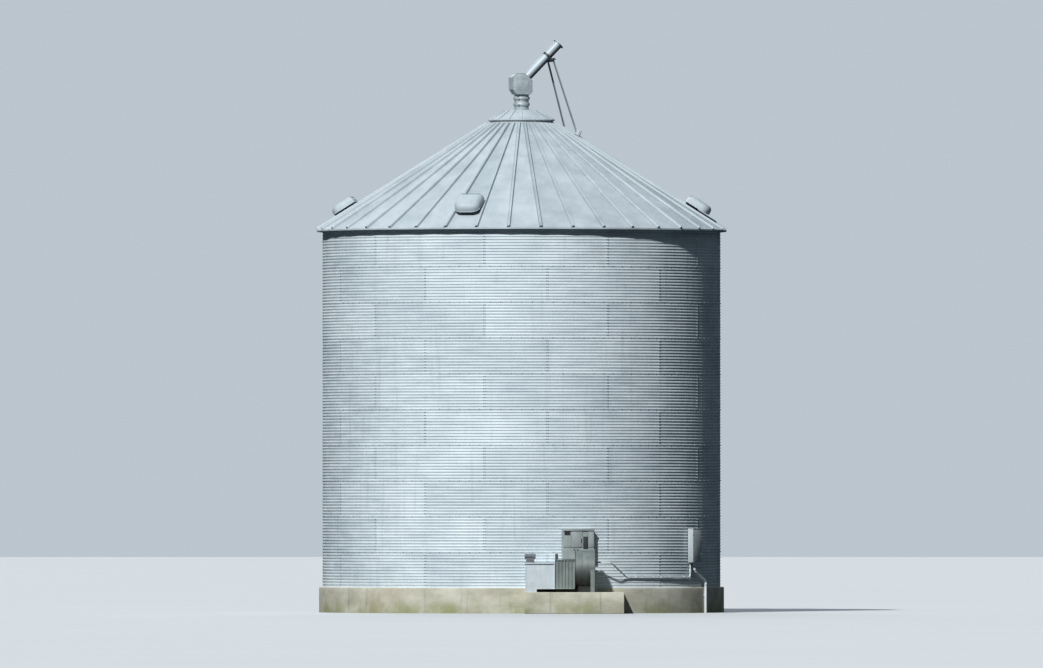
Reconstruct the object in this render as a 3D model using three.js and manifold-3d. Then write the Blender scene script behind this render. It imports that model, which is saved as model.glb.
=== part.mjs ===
// Corrugated steel grain bin with a conical ribbed roof, on a round concrete foundation.
// It has four roof vents, a capped peak with a spout head, and a fan unit on its own pad.
// Units are millimetres, +Z is up, the origin is on the bin's axis at ground level.
// An azimuth of 0 degrees points to the front, -Y, and grows towards the right, +X.

import * as THREE from "three";
import { mergeVertices } from "three/addons/utils/BufferGeometryUtils.js";
import Module from "manifold-3d";

const wasm = await Module();
wasm.setup();

// Driving dimensions
const GAP = 0.3;

const FOUNDATION_HEIGHT = 580;
const FOUNDATION_LIP = 75;

const BIN_RADIUS = 4572;
const RING_COUNT = 10;
const RING_PITCH = 812.8;
const WALL_DEPTH = 20;

const PANEL_COUNT = 40;
const PANEL_ANGLE = 360 / PANEL_COUNT;
const FIRST_RIB = -3.55;
const SECTION_COUNT = 10;
const SECTION_ANGLE = 360 / SECTION_COUNT;

const EAVE_RADIUS = 4712;
const DRIP_HEIGHT = 8752;
const ROOF_SLOPE = 31.9;
const ROOF_SHEET_DEPTH = 14;
const ROOF_TOP_RADIUS = 730;
const RIB_HEIGHT = 50;
const RIB_BASE_WIDTH = 76;
const RIB_TOP_WIDTH = 40;
const RIB_TOP_END_RADIUS = 826;
const RIB_EAVE_SETBACK = 30;

const VENT_AZIMUTHS = [-17.05, 81.95, 162.95, -98.05];
const VENT_RADIUS = 4010;
const HOOD = { width: 600, upper: -260, lower: 325, underside: 80, height: 275, bend: 115, corner: 190 };
const VENT_NECK = { width: 450, upper: -235, lower: 30 };

const COLLAR_DEPTH = 30;
const RIB_SUNK = 6;
const LID_BOTTOM = 11278;
const LID_RADIUS = 765;
const LID_RIM = 20;
const LID_TOP_RADIUS = 380;
const LID_TOP = 11520;
const LID_SHEET = 12;

const NECK_RADIUS = 165;
const NECK_BAND_RADIUS = 188;
const NECK_BAND_HEIGHT = 70;
const NECK_BANDS = [11655, 11795];
const HEAD = {
  bottom: 11885,
  depth: 420,
  left: -256,
  topChamfer: 90,
  leftChamfer: [80, 115],
  rightChamfer: [40, 45],
};
const HEAD_FACE = { across: 215, height: 12195, length: 250 };

const SPOUT_AZIMUTH = 104.5;
const SPOUT_RISE = 45.7;
const SPOUT_RADIUS = 104;
const SPOUT_WALL = 6;
const SPOUT_LENGTH = 1076;
const SPOUT_SIDES = 18;
const FLANGE_RADIUS = 140;
const HEAD_FLANGE_RADIUS = 122;
const FLANGE_DEPTH = 12;

const SADDLE_PLACE = 685;
const SADDLE_WIDTH = 60;
const SADDLE_BAND = 10;
const SADDLE_BAR = { length: 580, width: 72, low: -166, high: -108 };
const LEG_WIDTH = 45;
const LEG_TOP_SPREAD = 250;
const FOOT_RADIUS = 1270;
const FOOT_PANELS = { near: 81.95, far: 126.95 };
const FOOT_PLATE = { width: 290, length: 130, depth: 12, lift: 1.2 };
const SHOE = { width: 80, length: 100, height: 130 };

const PAD = { left: 70, right: 2320, front: -5700, back: -3900, height: 486 };
const UNIT_LIFT = 70;
const DUCT = { left: 90, right: 760, front: -5330, back: -4400, top: 1157, lip: 25, sheet: 12, foot: 345 };
const ACTUATOR = { left: 70, right: 320, centre: -5180, width: 150, base: 80, height: 200, crown: 62 };
const BOOT = { right: 1210, front: -5330, back: -4600, top: 1225, flutes: 6, fluteDepth: 22 };
const BOOT_BOX = { left: 764, right: 828, front: -5140, back: -5020, height: 132 };
const BARREL = { right: 1665, radius: 440, centreY: -4890, lift: 60, flange: 30, wall: 15, recess: 265 };
const BARREL_SIDES = 28;
const MOTOR = { radius: 150, length: 200, sides: 20 };
const GUARD = { wire: 12, rings: [140, 280, 430], bars: 4, reach: 423, sides: 18 };
const SKID = { start: 780, spread: 220, railWidth: 60, railHeight: 150, endGap: 15 };
const SKID_CROSS = { start: 120, width: 60, height: 40 };
const CRADLE = { left: 1565, right: 1660, half: 490, height: 515 };
const CABINET = { azimuth: 16, width: 742, depth: 160, bottom: 1235, height: 683, seat: 4570.9 };

const BOX = { azimuth: 58, width: 360, depth: 160, bottom: 1152, height: 776, seat: 4571 };
const CONDUIT = { radius: 20, bend: 80, steps: 54, start: [-4472, 1157], turnOff: 2030, height: 811 };
const CONDUIT_AZIMUTHS = [31.4, 37.8, 44.2, 50.6, 56.8];
const RISER = { radius: 32, bend: 80, steps: 24, clearance: 3, azimuth: 63.9, bendLow: 710 };
const RISER_TOP = { azimuth: 58.2, bendHigh: 960 };

// Values that follow from them
const FOUNDATION_RADIUS = BIN_RADIUS + FOUNDATION_LIP;
const WALL_TOP = FOUNDATION_HEIGHT + RING_COUNT * RING_PITCH;
const DEG = Math.PI / 180;
const ROOF_TAN = Math.tan(ROOF_SLOPE * DEG);
const HALF_PANEL_COS = Math.cos((PANEL_ANGLE / 2) * DEG);

// Colours and finishes
function finish(color, roughness, metalness) {
  return new THREE.MeshStandardMaterial({ color, roughness, metalness });
}

const FINISH = {
  wallSteel: finish(0xc4d2d6, 0.45, 0.8),
  roofSteel: finish(0xbecfd7, 0.4, 0.8),
  trimSteel: finish(0xa9b6bb, 0.5, 0.8),
  concrete: finish(0xb8b9a2, 0.95, 0.0),
  fanPaint: finish(0x76827f, 0.55, 0.3),
  darkSteel: finish(0x3c4448, 0.6, 0.6),
  boxPaint: finish(0xc2cbcd, 0.5, 0.2),
  pipe: finish(0xd5dadd, 0.5, 0.0),
};

// Geometry helpers

// A point at a radius and azimuth about the bin's axis.
function around(radius, azimuth, z) {
  const angle = azimuth * DEG;
  return new THREE.Vector3(radius * Math.sin(angle), -radius * Math.cos(angle), z);
}

// A closed profile of [radius, height] pairs, anticlockwise, turned about +Z.
// A profile that doesn't start on the axis is closed on itself.
function turned(profile, sides = PANEL_COUNT, start = FIRST_RIB) {
  const outline = profile.map(([radius, height]) => new THREE.Vector2(radius, height));
  if (profile[0][0] !== 0) {
    outline.push(outline[0].clone());
  }
  const geometry = new THREE.LatheGeometry(outline, sides, start * DEG, 2 * Math.PI);
  geometry.rotateX(Math.PI / 2);
  return geometry;
}

// A flat outline of [x, y] pairs pushed along +Z.
function pushed(outline, depth) {
  const shape = new THREE.Shape(outline.map(([x, y]) => new THREE.Vector2(x, y)));
  return new THREE.ExtrudeGeometry(shape, { depth, bevelEnabled: false });
}

// A box between two corners.
function block(low, high) {
  const size = high.map((value, axis) => value - low[axis]);
  const geometry = new THREE.BoxGeometry(...size);
  geometry.translate(...low.map((value, axis) => value + size[axis] / 2));
  return geometry;
}

// The points of an arc from one angle to another, in degrees, both ends included.
function arc(centreX, centreY, radius, from, to, steps) {
  const points = [];
  for (let step = 0; step <= steps; step += 1) {
    const angle = (from + ((to - from) * step) / steps) * DEG;
    points.push([centreX + radius * Math.cos(angle), centreY + radius * Math.sin(angle)]);
  }
  return points;
}

// A closed geometry as a solid that can be joined and cut.
function solidOf(geometry) {
  const bare = new THREE.BufferGeometry();
  bare.setAttribute("position", geometry.getAttribute("position"));
  bare.setIndex(geometry.index);
  const merged = mergeVertices(bare, 1e-3);
  const corners = merged.index.array;
  const triangles = [];
  for (let first = 0; first < corners.length; first += 3) {
    const [a, b, c] = corners.slice(first, first + 3);
    if (a !== b && b !== c && c !== a) {
      triangles.push(a, b, c);
    }
  }
  return new wasm.Manifold(
    new wasm.Mesh({
      numProp: 3,
      vertProperties: new Float32Array(merged.getAttribute("position").array),
      triVerts: new Uint32Array(triangles),
    }),
  );
}

// A joined or cut solid as a geometry again.
function geometryOf(solid) {
  const mesh = solid.getMesh();
  const geometry = new THREE.BufferGeometry();
  geometry.setAttribute("position", new THREE.BufferAttribute(new Float32Array(mesh.vertProperties), 3));
  geometry.setIndex([...mesh.triVerts]);
  geometry.computeVertexNormals();
  return geometry;
}

function joined(...geometries) {
  return geometries.map(solidOf).reduce((whole, piece) => whole.add(piece));
}

const bin = new THREE.Group();

function addMesh(name, geometry, material, parent = bin) {
  const mesh = new THREE.Mesh(geometry, material);
  mesh.name = name;
  parent.add(mesh);
  return mesh;
}

// Foundation and wall

function foundationProfile(clearance) {
  return [
    [0, 0],
    [FOUNDATION_RADIUS + clearance, 0],
    [FOUNDATION_RADIUS + clearance, FOUNDATION_HEIGHT + clearance],
    [0, FOUNDATION_HEIGHT + clearance],
  ];
}

addMesh("foundation", turned(foundationProfile(0)), FINISH.concrete);

function wallRing(index) {
  const height = RING_PITCH - GAP;
  const inner = BIN_RADIUS - WALL_DEPTH;
  const geometry = turned([[inner, 0], [BIN_RADIUS, 0], [BIN_RADIUS, height], [inner, height]]);
  const name = `wall_ring_${String(index + 1).padStart(2, "0")}`;
  const ring = addMesh(name, geometry, FINISH.wallSteel);
  ring.position.z = FOUNDATION_HEIGHT + GAP + index * RING_PITCH;
}

for (let index = 0; index < RING_COUNT; index += 1) {
  wallRing(index);
}

// Roof

// Heights of the roof sheet's lower and upper faces along a rib line.
function roofUnderside(radius) {
  return DRIP_HEIGHT + (EAVE_RADIUS - radius) * ROOF_TAN;
}

function roofSurface(radius) {
  return roofUnderside(radius) + ROOF_SHEET_DEPTH;
}

// The top angle closes the wall against the roof sheets.
function eaveRing() {
  const inner = BIN_RADIUS - WALL_DEPTH;
  const bottom = WALL_TOP + GAP;
  const clear = GAP / Math.cos(ROOF_SLOPE * DEG);
  const profile = [
    [inner, bottom],
    [BIN_RADIUS, bottom],
    [BIN_RADIUS, roofUnderside(BIN_RADIUS) - clear],
    [inner, roofUnderside(inner) - clear],
  ];
  addMesh("eave_ring", turned(profile), FINISH.trimSteel);
}

eaveRing();

// A frame on the roof: X along the eave, Y out of the roof, Z down the slope.
function roofFrame(azimuth, slope, origin) {
  const angle = azimuth * DEG;
  const radial = new THREE.Vector3(Math.sin(angle), -Math.cos(angle), 0);
  const along = new THREE.Vector3(Math.cos(angle), Math.sin(angle), 0);
  const up = new THREE.Vector3(0, 0, 1);
  const down = radial.clone().multiplyScalar(Math.cos(slope)).addScaledVector(up, -Math.sin(slope));
  const normal = radial.clone().multiplyScalar(Math.sin(slope)).addScaledVector(up, Math.cos(slope));
  return new THREE.Matrix4().makeBasis(along, normal, down).setPosition(origin);
}

// The same frame on the flat of a panel, halfway between two ribs.
function panelFrame(azimuth, radius) {
  const slope = Math.atan(ROOF_TAN / HALF_PANEL_COS);
  return roofFrame(azimuth, slope, around(radius * HALF_PANEL_COS, azimuth, roofSurface(radius)));
}

function rib(azimuth) {
  const outline = [
    [-RIB_BASE_WIDTH / 2, -RIB_SUNK],
    [RIB_BASE_WIDTH / 2, -RIB_SUNK],
    [RIB_TOP_WIDTH / 2, RIB_HEIGHT],
    [-RIB_TOP_WIDTH / 2, RIB_HEIGHT],
  ];
  const run = EAVE_RADIUS - RIB_TOP_END_RADIUS - RIB_EAVE_SETBACK;
  const geometry = pushed(outline, run / Math.cos(ROOF_SLOPE * DEG));
  const top = around(RIB_TOP_END_RADIUS, azimuth, roofSurface(RIB_TOP_END_RADIUS));
  geometry.applyMatrix4(roofFrame(azimuth, ROOF_SLOPE * DEG, top));
  return geometry;
}

function wholeRoof() {
  const cone = turned([
    [ROOF_TOP_RADIUS, roofUnderside(ROOF_TOP_RADIUS)],
    [EAVE_RADIUS, roofUnderside(EAVE_RADIUS)],
    [EAVE_RADIUS, roofSurface(EAVE_RADIUS)],
    [ROOF_TOP_RADIUS, roofSurface(ROOF_TOP_RADIUS)],
  ]);
  const ribs = [];
  for (let index = 0; index < PANEL_COUNT; index += 1) {
    ribs.push(rib(FIRST_RIB + index * PANEL_ANGLE));
  }
  return joined(cone, ...ribs);
}

// A tall wedge from one azimuth to another, half a gap inside both planes.
function sectionWedge(from, to) {
  const reach = 7000;
  const apexShift = GAP / 2 / Math.sin(((to - from) / 2) * DEG);
  const apex = around(apexShift, (from + to) / 2, 0);
  const first = around(reach, from, 0).add(apex);
  const second = around(reach, to, 0).add(apex);
  const bottom = WALL_TOP - 500;
  const geometry = pushed([[apex.x, apex.y], [first.x, first.y], [second.x, second.y]], LID_TOP - bottom);
  geometry.translate(0, 0, bottom);
  return geometry;
}

function roofSections() {
  const roof = wholeRoof();
  for (let index = 0; index < SECTION_COUNT; index += 1) {
    const from = FIRST_RIB + index * SECTION_ANGLE;
    const wedge = solidOf(sectionWedge(from, from + SECTION_ANGLE));
    const name = `roof_section_${String(index + 1).padStart(2, "0")}`;
    addMesh(name, geometryOf(roof.intersect(wedge)), FINISH.roofSteel);
  }
}

roofSections();

// Roof vents: a square neck on the panel and a hood with a rounded lower end over it.

function ventHood() {
  const { upper, lower, underside, height, bend, corner } = HOOD;
  const half = HOOD.width / 2;
  const sideOutline = [
    [upper, underside],
    [lower, underside],
    ...arc(lower - bend, height - bend, bend, 0, 90, 4),
    ...arc(upper + bend, height - bend, bend, 90, 180, 4),
  ];
  const side = pushed(sideOutline, HOOD.width);
  side.applyMatrix4(new THREE.Matrix4().set(0, 0, -1, half, 0, 1, 0, 0, 1, 0, 0, 0, 0, 0, 0, 1));
  const planOutline = [
    [half, -upper],
    [-half, -upper],
    ...arc(-half + corner, -lower + corner, corner, 180, 270, 5),
    ...arc(half - corner, -lower + corner, corner, 270, 360, 5),
  ];
  const plan = pushed(planOutline, 2 * height);
  plan.rotateX(-Math.PI / 2);
  return solidOf(side).intersect(solidOf(plan));
}

function roofVents() {
  const half = VENT_NECK.width / 2;
  const inHood = (HOOD.underside + HOOD.height) / 2;
  const neck = block([-half, GAP, VENT_NECK.upper], [half, inHood, VENT_NECK.lower]);
  const geometry = geometryOf(ventHood().add(solidOf(neck)));
  for (const [index, azimuth] of VENT_AZIMUTHS.entries()) {
    const seat = new THREE.Group();
    seat.applyMatrix4(panelFrame(azimuth, VENT_RADIUS));
    bin.add(seat);
    addMesh(`roof_vent_${index + 1}`, geometry, FINISH.roofSteel, seat);
  }
}

roofVents();

// Peak: a collar inside the roof opening, a shallow conical lid and the inlet neck.

function peak() {
  const collarOuter = ROOF_TOP_RADIUS - GAP;
  const collarInner = collarOuter - COLLAR_DEPTH;
  const collarBottom = roofUnderside(ROOF_TOP_RADIUS) - COLLAR_DEPTH;
  const collar = [
    [collarInner, collarBottom],
    [collarOuter, collarBottom],
    [collarOuter, LID_BOTTOM],
    [collarInner, LID_BOTTOM],
  ];
  addMesh("peak_collar", turned(collar), FINISH.trimSteel);

  const rimBottom = LID_BOTTOM + GAP;
  const rimTop = rimBottom + LID_RIM;
  const lid = [
    [0, LID_TOP - LID_SHEET],
    [LID_TOP_RADIUS, LID_TOP - LID_SHEET],
    [collarInner, rimBottom + LID_SHEET],
    [collarInner, rimBottom],
    [LID_RADIUS, rimBottom],
    [LID_RADIUS, rimTop],
    [LID_TOP_RADIUS, LID_TOP],
    [0, LID_TOP],
  ];
  addMesh("peak_lid", turned(lid), FINISH.roofSteel);

  const neck = [[0, LID_TOP + GAP], [NECK_RADIUS, LID_TOP + GAP]];
  for (const middle of NECK_BANDS) {
    const low = middle - NECK_BAND_HEIGHT / 2;
    const high = middle + NECK_BAND_HEIGHT / 2;
    neck.push([NECK_RADIUS, low], [NECK_BAND_RADIUS, low], [NECK_BAND_RADIUS, high], [NECK_RADIUS, high]);
  }
  neck.push([NECK_RADIUS, HEAD.bottom], [0, HEAD.bottom]);
  addMesh("inlet_neck", turned(neck, SPOUT_SIDES, 0), FINISH.trimSteel);
}

peak();

// Spout head, the lower end of the spout and the two legs that carry it.
// Their side view lies in a plane through the axis: across is the plan direction of the spout.

const spoutAcross = around(1, SPOUT_AZIMUTH, 0);
const spoutSide = new THREE.Vector3(0, 0, 1).cross(spoutAcross);
const spoutRise = SPOUT_RISE * DEG;
const spoutAlong = spoutAcross.clone().multiplyScalar(Math.cos(spoutRise));
spoutAlong.z = Math.sin(spoutRise);

const faceMiddle = {
  across: HEAD_FACE.across - (HEAD_FACE.length / 2) * Math.sin(spoutRise),
  height: HEAD_FACE.height + (HEAD_FACE.length / 2) * Math.cos(spoutRise),
};

function spoutHead() {
  const faceEnd = [
    HEAD_FACE.across - HEAD_FACE.length * Math.sin(spoutRise),
    HEAD_FACE.height + HEAD_FACE.length * Math.cos(spoutRise),
  ];
  const bottom = HEAD.bottom + GAP;
  const top = faceEnd[1];
  const outline = [
    [HEAD.left + HEAD.leftChamfer[0], bottom],
    [HEAD_FACE.across - HEAD.rightChamfer[0], bottom],
    [HEAD_FACE.across, bottom + HEAD.rightChamfer[1]],
    [HEAD_FACE.across, HEAD_FACE.height],
    faceEnd,
    [HEAD.left + HEAD.topChamfer, top],
    [HEAD.left, top - HEAD.topChamfer],
    [HEAD.left, bottom + HEAD.leftChamfer[1]],
  ];
  const geometry = pushed(outline, HEAD.depth);
  geometry.translate(0, 0, -HEAD.depth / 2);
  const back = spoutSide.clone().negate();
  geometry.applyMatrix4(new THREE.Matrix4().makeBasis(spoutAcross, new THREE.Vector3(0, 0, 1), back));
  addMesh("spout_head", geometry, FINISH.trimSteel);
}

spoutHead();

// A frame on the spout's axis: Z along the spout, Y sideways, X towards its underside.
function spoutFrame(distance) {
  const under = spoutSide.clone().cross(spoutAlong);
  const origin = spoutAcross.clone().multiplyScalar(faceMiddle.across);
  origin.z = faceMiddle.height;
  origin.addScaledVector(spoutAlong, distance);
  return new THREE.Matrix4().makeBasis(under, spoutSide, spoutAlong).setPosition(origin);
}

function spoutStub() {
  const bore = SPOUT_RADIUS - SPOUT_WALL;
  const start = GAP;
  const end = SPOUT_LENGTH;
  const profile = [
    [bore, start],
    [HEAD_FLANGE_RADIUS, start],
    [HEAD_FLANGE_RADIUS, start + FLANGE_DEPTH],
    [SPOUT_RADIUS, start + FLANGE_DEPTH],
    [SPOUT_RADIUS, end - FLANGE_DEPTH],
    [FLANGE_RADIUS, end - FLANGE_DEPTH],
    [FLANGE_RADIUS, end],
    [bore, end],
  ];
  const geometry = turned(profile, SPOUT_SIDES, 0);
  const seat = new THREE.Group();
  seat.applyMatrix4(spoutFrame(0));
  bin.add(seat);
  addMesh("spout_stub", geometry, FINISH.roofSteel, seat);
}

spoutStub();

// The saddle is a band round the spout with a cross bar under it, in the spout's frame.
function saddleBar(clearance) {
  const { length, width, low, high } = SADDLE_BAR;
  return block(
    [-high - clearance, -length / 2 - clearance, -width / 2 - clearance],
    [-low + clearance, length / 2 + clearance, width / 2 + clearance],
  );
}

function spoutSaddle() {
  const inner = SPOUT_RADIUS + GAP;
  const outer = inner + SADDLE_BAND;
  const half = SADDLE_WIDTH / 2;
  const band = turned([[inner, -half], [outer, -half], [outer, half], [inner, half]], SPOUT_SIDES, 0);
  const seat = new THREE.Group();
  seat.applyMatrix4(spoutFrame(SADDLE_PLACE));
  bin.add(seat);
  addMesh("spout_saddle", geometryOf(joined(band, saddleBar(0))), FINISH.darkSteel, seat);
}

spoutSaddle();

// A square bar between two points, extended at neither end.
function squareBar(from, to, width) {
  const half = width / 2;
  const length = from.distanceTo(to);
  const geometry = pushed([[-half, -half], [half, -half], [half, half], [-half, half]], length);
  const along = to.clone().sub(from).normalize();
  const across = spoutAcross.clone().addScaledVector(along, -spoutAcross.dot(along)).normalize();
  const third = along.clone().cross(across);
  geometry.applyMatrix4(new THREE.Matrix4().makeBasis(across, third, along).setPosition(from));
  return geometry;
}

// Each leg ends in a shoe on a plate that lies across two ribs. Its top is cut by the saddle's bar.
function spoutLeg(name, side, footAzimuth) {
  const saddle = spoutFrame(SADDLE_PLACE);
  const barMiddle = -(SADDLE_BAR.low + SADDLE_BAR.high) / 2;
  const top = new THREE.Vector3(barMiddle, side * LEG_TOP_SPREAD, 0).applyMatrix4(saddle);
  const onPanel = panelFrame(footAzimuth, FOOT_RADIUS);
  const { width, length, depth, lift } = FOOT_PLATE;
  const plateLow = RIB_HEIGHT + lift;
  const plate = block([-width / 2, plateLow, -length / 2], [width / 2, plateLow + depth, length / 2]);
  plate.applyMatrix4(onPanel);
  const shoe = block(
    [-SHOE.width / 2, plateLow, -SHOE.length / 2],
    [SHOE.width / 2, plateLow + SHOE.height, SHOE.length / 2],
  );
  shoe.applyMatrix4(onPanel);
  const foot = new THREE.Vector3(0, plateLow + depth / 2, 0).applyMatrix4(onPanel);
  const below = block([-width, -width, -width], [width, plateLow + depth / 2, width]);
  below.applyMatrix4(onPanel);
  const past = foot.clone().addScaledVector(foot.clone().sub(top).normalize(), LEG_WIDTH);
  const bar = solidOf(squareBar(top, past, LEG_WIDTH));
  const notch = solidOf(saddleBar(GAP).applyMatrix4(saddle));
  const leg = bar.subtract(notch).subtract(solidOf(below)).add(joined(plate, shoe));
  addMesh(name, geometryOf(leg), FINISH.darkSteel);
}

spoutLeg("spout_leg_near", -1, FOOT_PANELS.near);
spoutLeg("spout_leg_far", 1, FOOT_PANELS.far);

// Fan unit on its pad: duct into the wall, fluted boot, round fan barrel and a cabinet on top.

function fanPad() {
  const slab = block([PAD.left, PAD.front, 0], [PAD.right, PAD.back, PAD.height]);
  const ground = turned(foundationProfile(GAP)).translate(0, 0, -GAP / 2);
  addMesh("fan_pad", geometryOf(solidOf(slab).subtract(solidOf(ground))), FINISH.concrete);
}

fanPad();

// The duct ends on the wall and steps over the foundation's lip. Only its left end stands on the pad.
function transitionDuct() {
  const bottom = PAD.height + GAP;
  const trunk = block([DUCT.left, DUCT.front, bottom + UNIT_LIFT], [DUCT.right, DUCT.back, DUCT.top]);
  const foot = block([DUCT.left, DUCT.front, bottom], [DUCT.foot, DUCT.back, DUCT.top]);
  const lipLow = [DUCT.left - DUCT.lip, DUCT.front - DUCT.lip, DUCT.top - DUCT.sheet];
  const lip = block(lipLow, [DUCT.right, DUCT.back, DUCT.top]);
  const wall = turned([[0, 0], [BIN_RADIUS + GAP, 0], [BIN_RADIUS + GAP, WALL_TOP], [0, WALL_TOP]]);
  const bare = joined(trunk, foot, lip).subtract(solidOf(wall));
  const duct = bare.subtract(solidOf(turned(foundationProfile(GAP))));
  addMesh("transition_duct", geometryOf(duct), FINISH.wallSteel);
}

transitionDuct();

function ductActuator() {
  const half = ACTUATOR.width / 2;
  const outline = [
    [-half, 0],
    [half, 0],
    [half, ACTUATOR.base],
    ...arc(0, ACTUATOR.height - ACTUATOR.crown, ACTUATOR.crown, 0, 180, 8),
    [-half, ACTUATOR.base],
  ];
  const geometry = pushed(outline, ACTUATOR.right - ACTUATOR.left);
  geometry.rotateX(Math.PI / 2);
  geometry.rotateZ(Math.PI / 2);
  const motor = addMesh("duct_actuator", geometry, FINISH.darkSteel);
  motor.position.set(ACTUATOR.left, ACTUATOR.centre, DUCT.top + GAP);
}

ductActuator();

// The boot's front is folded into upright flutes, and a small switch box stands on its top.
function fanBoot() {
  const left = DUCT.right + GAP;
  const right = BOOT.right - GAP;
  const pitch = (right - left) / BOOT.flutes;
  const outline = [];
  for (let flute = 0; flute < BOOT.flutes; flute += 1) {
    const start = left + flute * pitch;
    outline.push([start, BOOT.front]);
    outline.push([start + 0.3 * pitch, BOOT.front + BOOT.fluteDepth]);
    outline.push([start + 0.6 * pitch, BOOT.front + BOOT.fluteDepth]);
    outline.push([start + 0.9 * pitch, BOOT.front]);
  }
  outline.push([right, BOOT.front], [right, BOOT.back], [left, BOOT.back]);
  const bottom = PAD.height + UNIT_LIFT;
  const trunk = pushed(outline, BOOT.top - bottom);
  trunk.translate(0, 0, bottom);
  const box = block(
    [BOOT_BOX.left, BOOT_BOX.front, BOOT.top - UNIT_LIFT],
    [BOOT_BOX.right, BOOT_BOX.back, BOOT.top + BOOT_BOX.height],
  );
  addMesh("fan_boot", geometryOf(joined(trunk, box)), FINISH.fanPaint);
}

fanBoot();

const barrelCentreZ = PAD.height + BARREL.lift + BARREL.radius;

// Turns a geometry made about +Z so that its axis lies along +X on the fan's centre line.
function onFanAxis(geometry, startX) {
  geometry.rotateY(Math.PI / 2);
  geometry.translate(startX, BARREL.centreY, barrelCentreZ);
  return geometry;
}

// The barrel's outside, with a flange at each end, from the axis round to the inlet rim.
function barrelOutside(clearance) {
  const length = BARREL.right - BOOT.right;
  const radius = BARREL.radius + clearance;
  const flange = radius + BARREL.flange;
  return [
    [0, -clearance],
    [flange, -clearance],
    [flange, BARREL.flange + clearance],
    [radius, BARREL.flange + clearance],
    [radius, length - BARREL.flange - clearance],
    [flange, length - BARREL.flange - clearance],
    [flange, length + clearance],
  ];
}

// A closed barrel, larger by a gap, that cuts the pieces resting against it.
function barrelCutter() {
  const outside = barrelOutside(GAP);
  const profile = [...outside, [0, outside.at(-1)[1]]];
  return solidOf(onFanAxis(turned(profile, BARREL_SIDES, 0), BOOT.right));
}

// The barrel is solid behind the fan plane and has a round recess at its inlet end.
function fanBarrel() {
  const length = BARREL.right - BOOT.right;
  const inside = BARREL.radius - BARREL.wall;
  const floor = length - BARREL.recess;
  const profile = [...barrelOutside(0), [inside, length], [inside, floor], [0, floor]];
  const barrel = onFanAxis(turned(profile, BARREL_SIDES, 0), BOOT.right);
  addMesh("fan_barrel", barrel, FINISH.fanPaint);
  const motorStart = BARREL.right - BARREL.recess + GAP;
  const outline = [[0, 0], [MOTOR.radius, 0], [MOTOR.radius, MOTOR.length], [0, MOTOR.length]];
  const motor = turned(outline, MOTOR.sides, 0);
  addMesh("fan_motor", onFanAxis(motor, motorStart), FINISH.darkSteel);
}

fanBarrel();

// The inlet guard is three rings joined by crossing bars.
function inletGuard() {
  const { wire, rings, bars, reach, sides } = GUARD;
  const pieces = rings.map((radius) =>
    turned([[radius - wire, 0], [radius, 0], [radius, wire], [radius - wire, wire]], sides, 0),
  );
  for (let index = 0; index < bars; index += 1) {
    const bar = block([-reach, -wire / 2, 0], [reach, wire / 2, wire]);
    pieces.push(bar.rotateZ((index * Math.PI) / bars));
  }
  const guard = geometryOf(joined(...pieces));
  addMesh("fan_inlet_guard", onFanAxis(guard, BARREL.right + GAP), FINISH.trimSteel);
}

inletGuard();

// Two rails run under the boot and rise to the barrel's curve, joined by a cross member.
// A cradle at the inlet end holds the barrel's lower half.
function fanSkid() {
  const low = PAD.height + GAP;
  const start = BOOT.right + BARREL.flange + SKID.endGap;
  const end = BARREL.right - BARREL.flange - SKID.endGap;
  const half = SKID.railWidth / 2;
  const pieces = [];
  for (const offset of [-SKID.spread, SKID.spread]) {
    const y = BARREL.centreY + offset;
    pieces.push(block([SKID.start, y - half, low], [end, y + half, PAD.height + UNIT_LIFT - GAP]));
    pieces.push(block([start, y - half, low], [end, y + half, low + SKID.railHeight]));
  }
  const crossStart = start + SKID_CROSS.start;
  const crossLow = [crossStart, BARREL.centreY - SKID.spread, low];
  const crossEnd = crossStart + SKID_CROSS.width;
  const crossHigh = [crossEnd, BARREL.centreY + SKID.spread, low + SKID_CROSS.height];
  pieces.push(block(crossLow, crossHigh));
  const cradleLow = [CRADLE.left, BARREL.centreY - CRADLE.half, low];
  const cradleHigh = [CRADLE.right, BARREL.centreY + CRADLE.half, low + CRADLE.height];
  pieces.push(block(cradleLow, cradleHigh));
  const skid = joined(...pieces).subtract(barrelCutter());
  addMesh("fan_skid", geometryOf(skid), FINISH.fanPaint);
}

fanSkid();

// A box flat against the wall, in the wall's own direction at its azimuth.
function wallBox(size) {
  const half = size.width / 2;
  const low = [-half, -size.seat - size.depth, size.bottom];
  const high = [half, -size.seat, size.bottom + size.height];
  return block(low, high).rotateZ(size.azimuth * DEG);
}

// The cabinet hangs on the wall behind the fan, and its lower edge is cut by the barrel.
function fanCabinet() {
  const cabinet = solidOf(wallBox(CABINET)).subtract(barrelCutter());
  addMesh("fan_cabinet", geometryOf(cabinet), FINISH.fanPaint);
}

fanCabinet();

// Control box on the wall, with the conduit from the fan and the riser out of the ground.

addMesh("control_box", wallBox(BOX), FINISH.boxPaint);

// A path of straight runs with rounded corners through the given points.
function roundedPath(points, bend) {
  const path = new THREE.CurvePath();
  let last = points[0];
  for (let index = 1; index < points.length - 1; index += 1) {
    const corner = points[index];
    const before = corner.clone().lerp(last, bend / corner.distanceTo(last));
    const after = corner.clone().lerp(points[index + 1], bend / corner.distanceTo(points[index + 1]));
    path.add(new THREE.LineCurve3(last, before));
    path.add(new THREE.QuadraticBezierCurve3(before, corner, after));
    last = after;
  }
  path.add(new THREE.LineCurve3(last, points.at(-1)));
  return path;
}

function pipeAlong(path, radius, steps) {
  const outline = arc(0, 0, radius, 0, 315, 7).map(([x, y]) => new THREE.Vector2(x, y));
  const shape = new THREE.Shape(outline);
  return new THREE.ExtrudeGeometry(shape, { extrudePath: path, steps, bevelEnabled: false });
}

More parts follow.
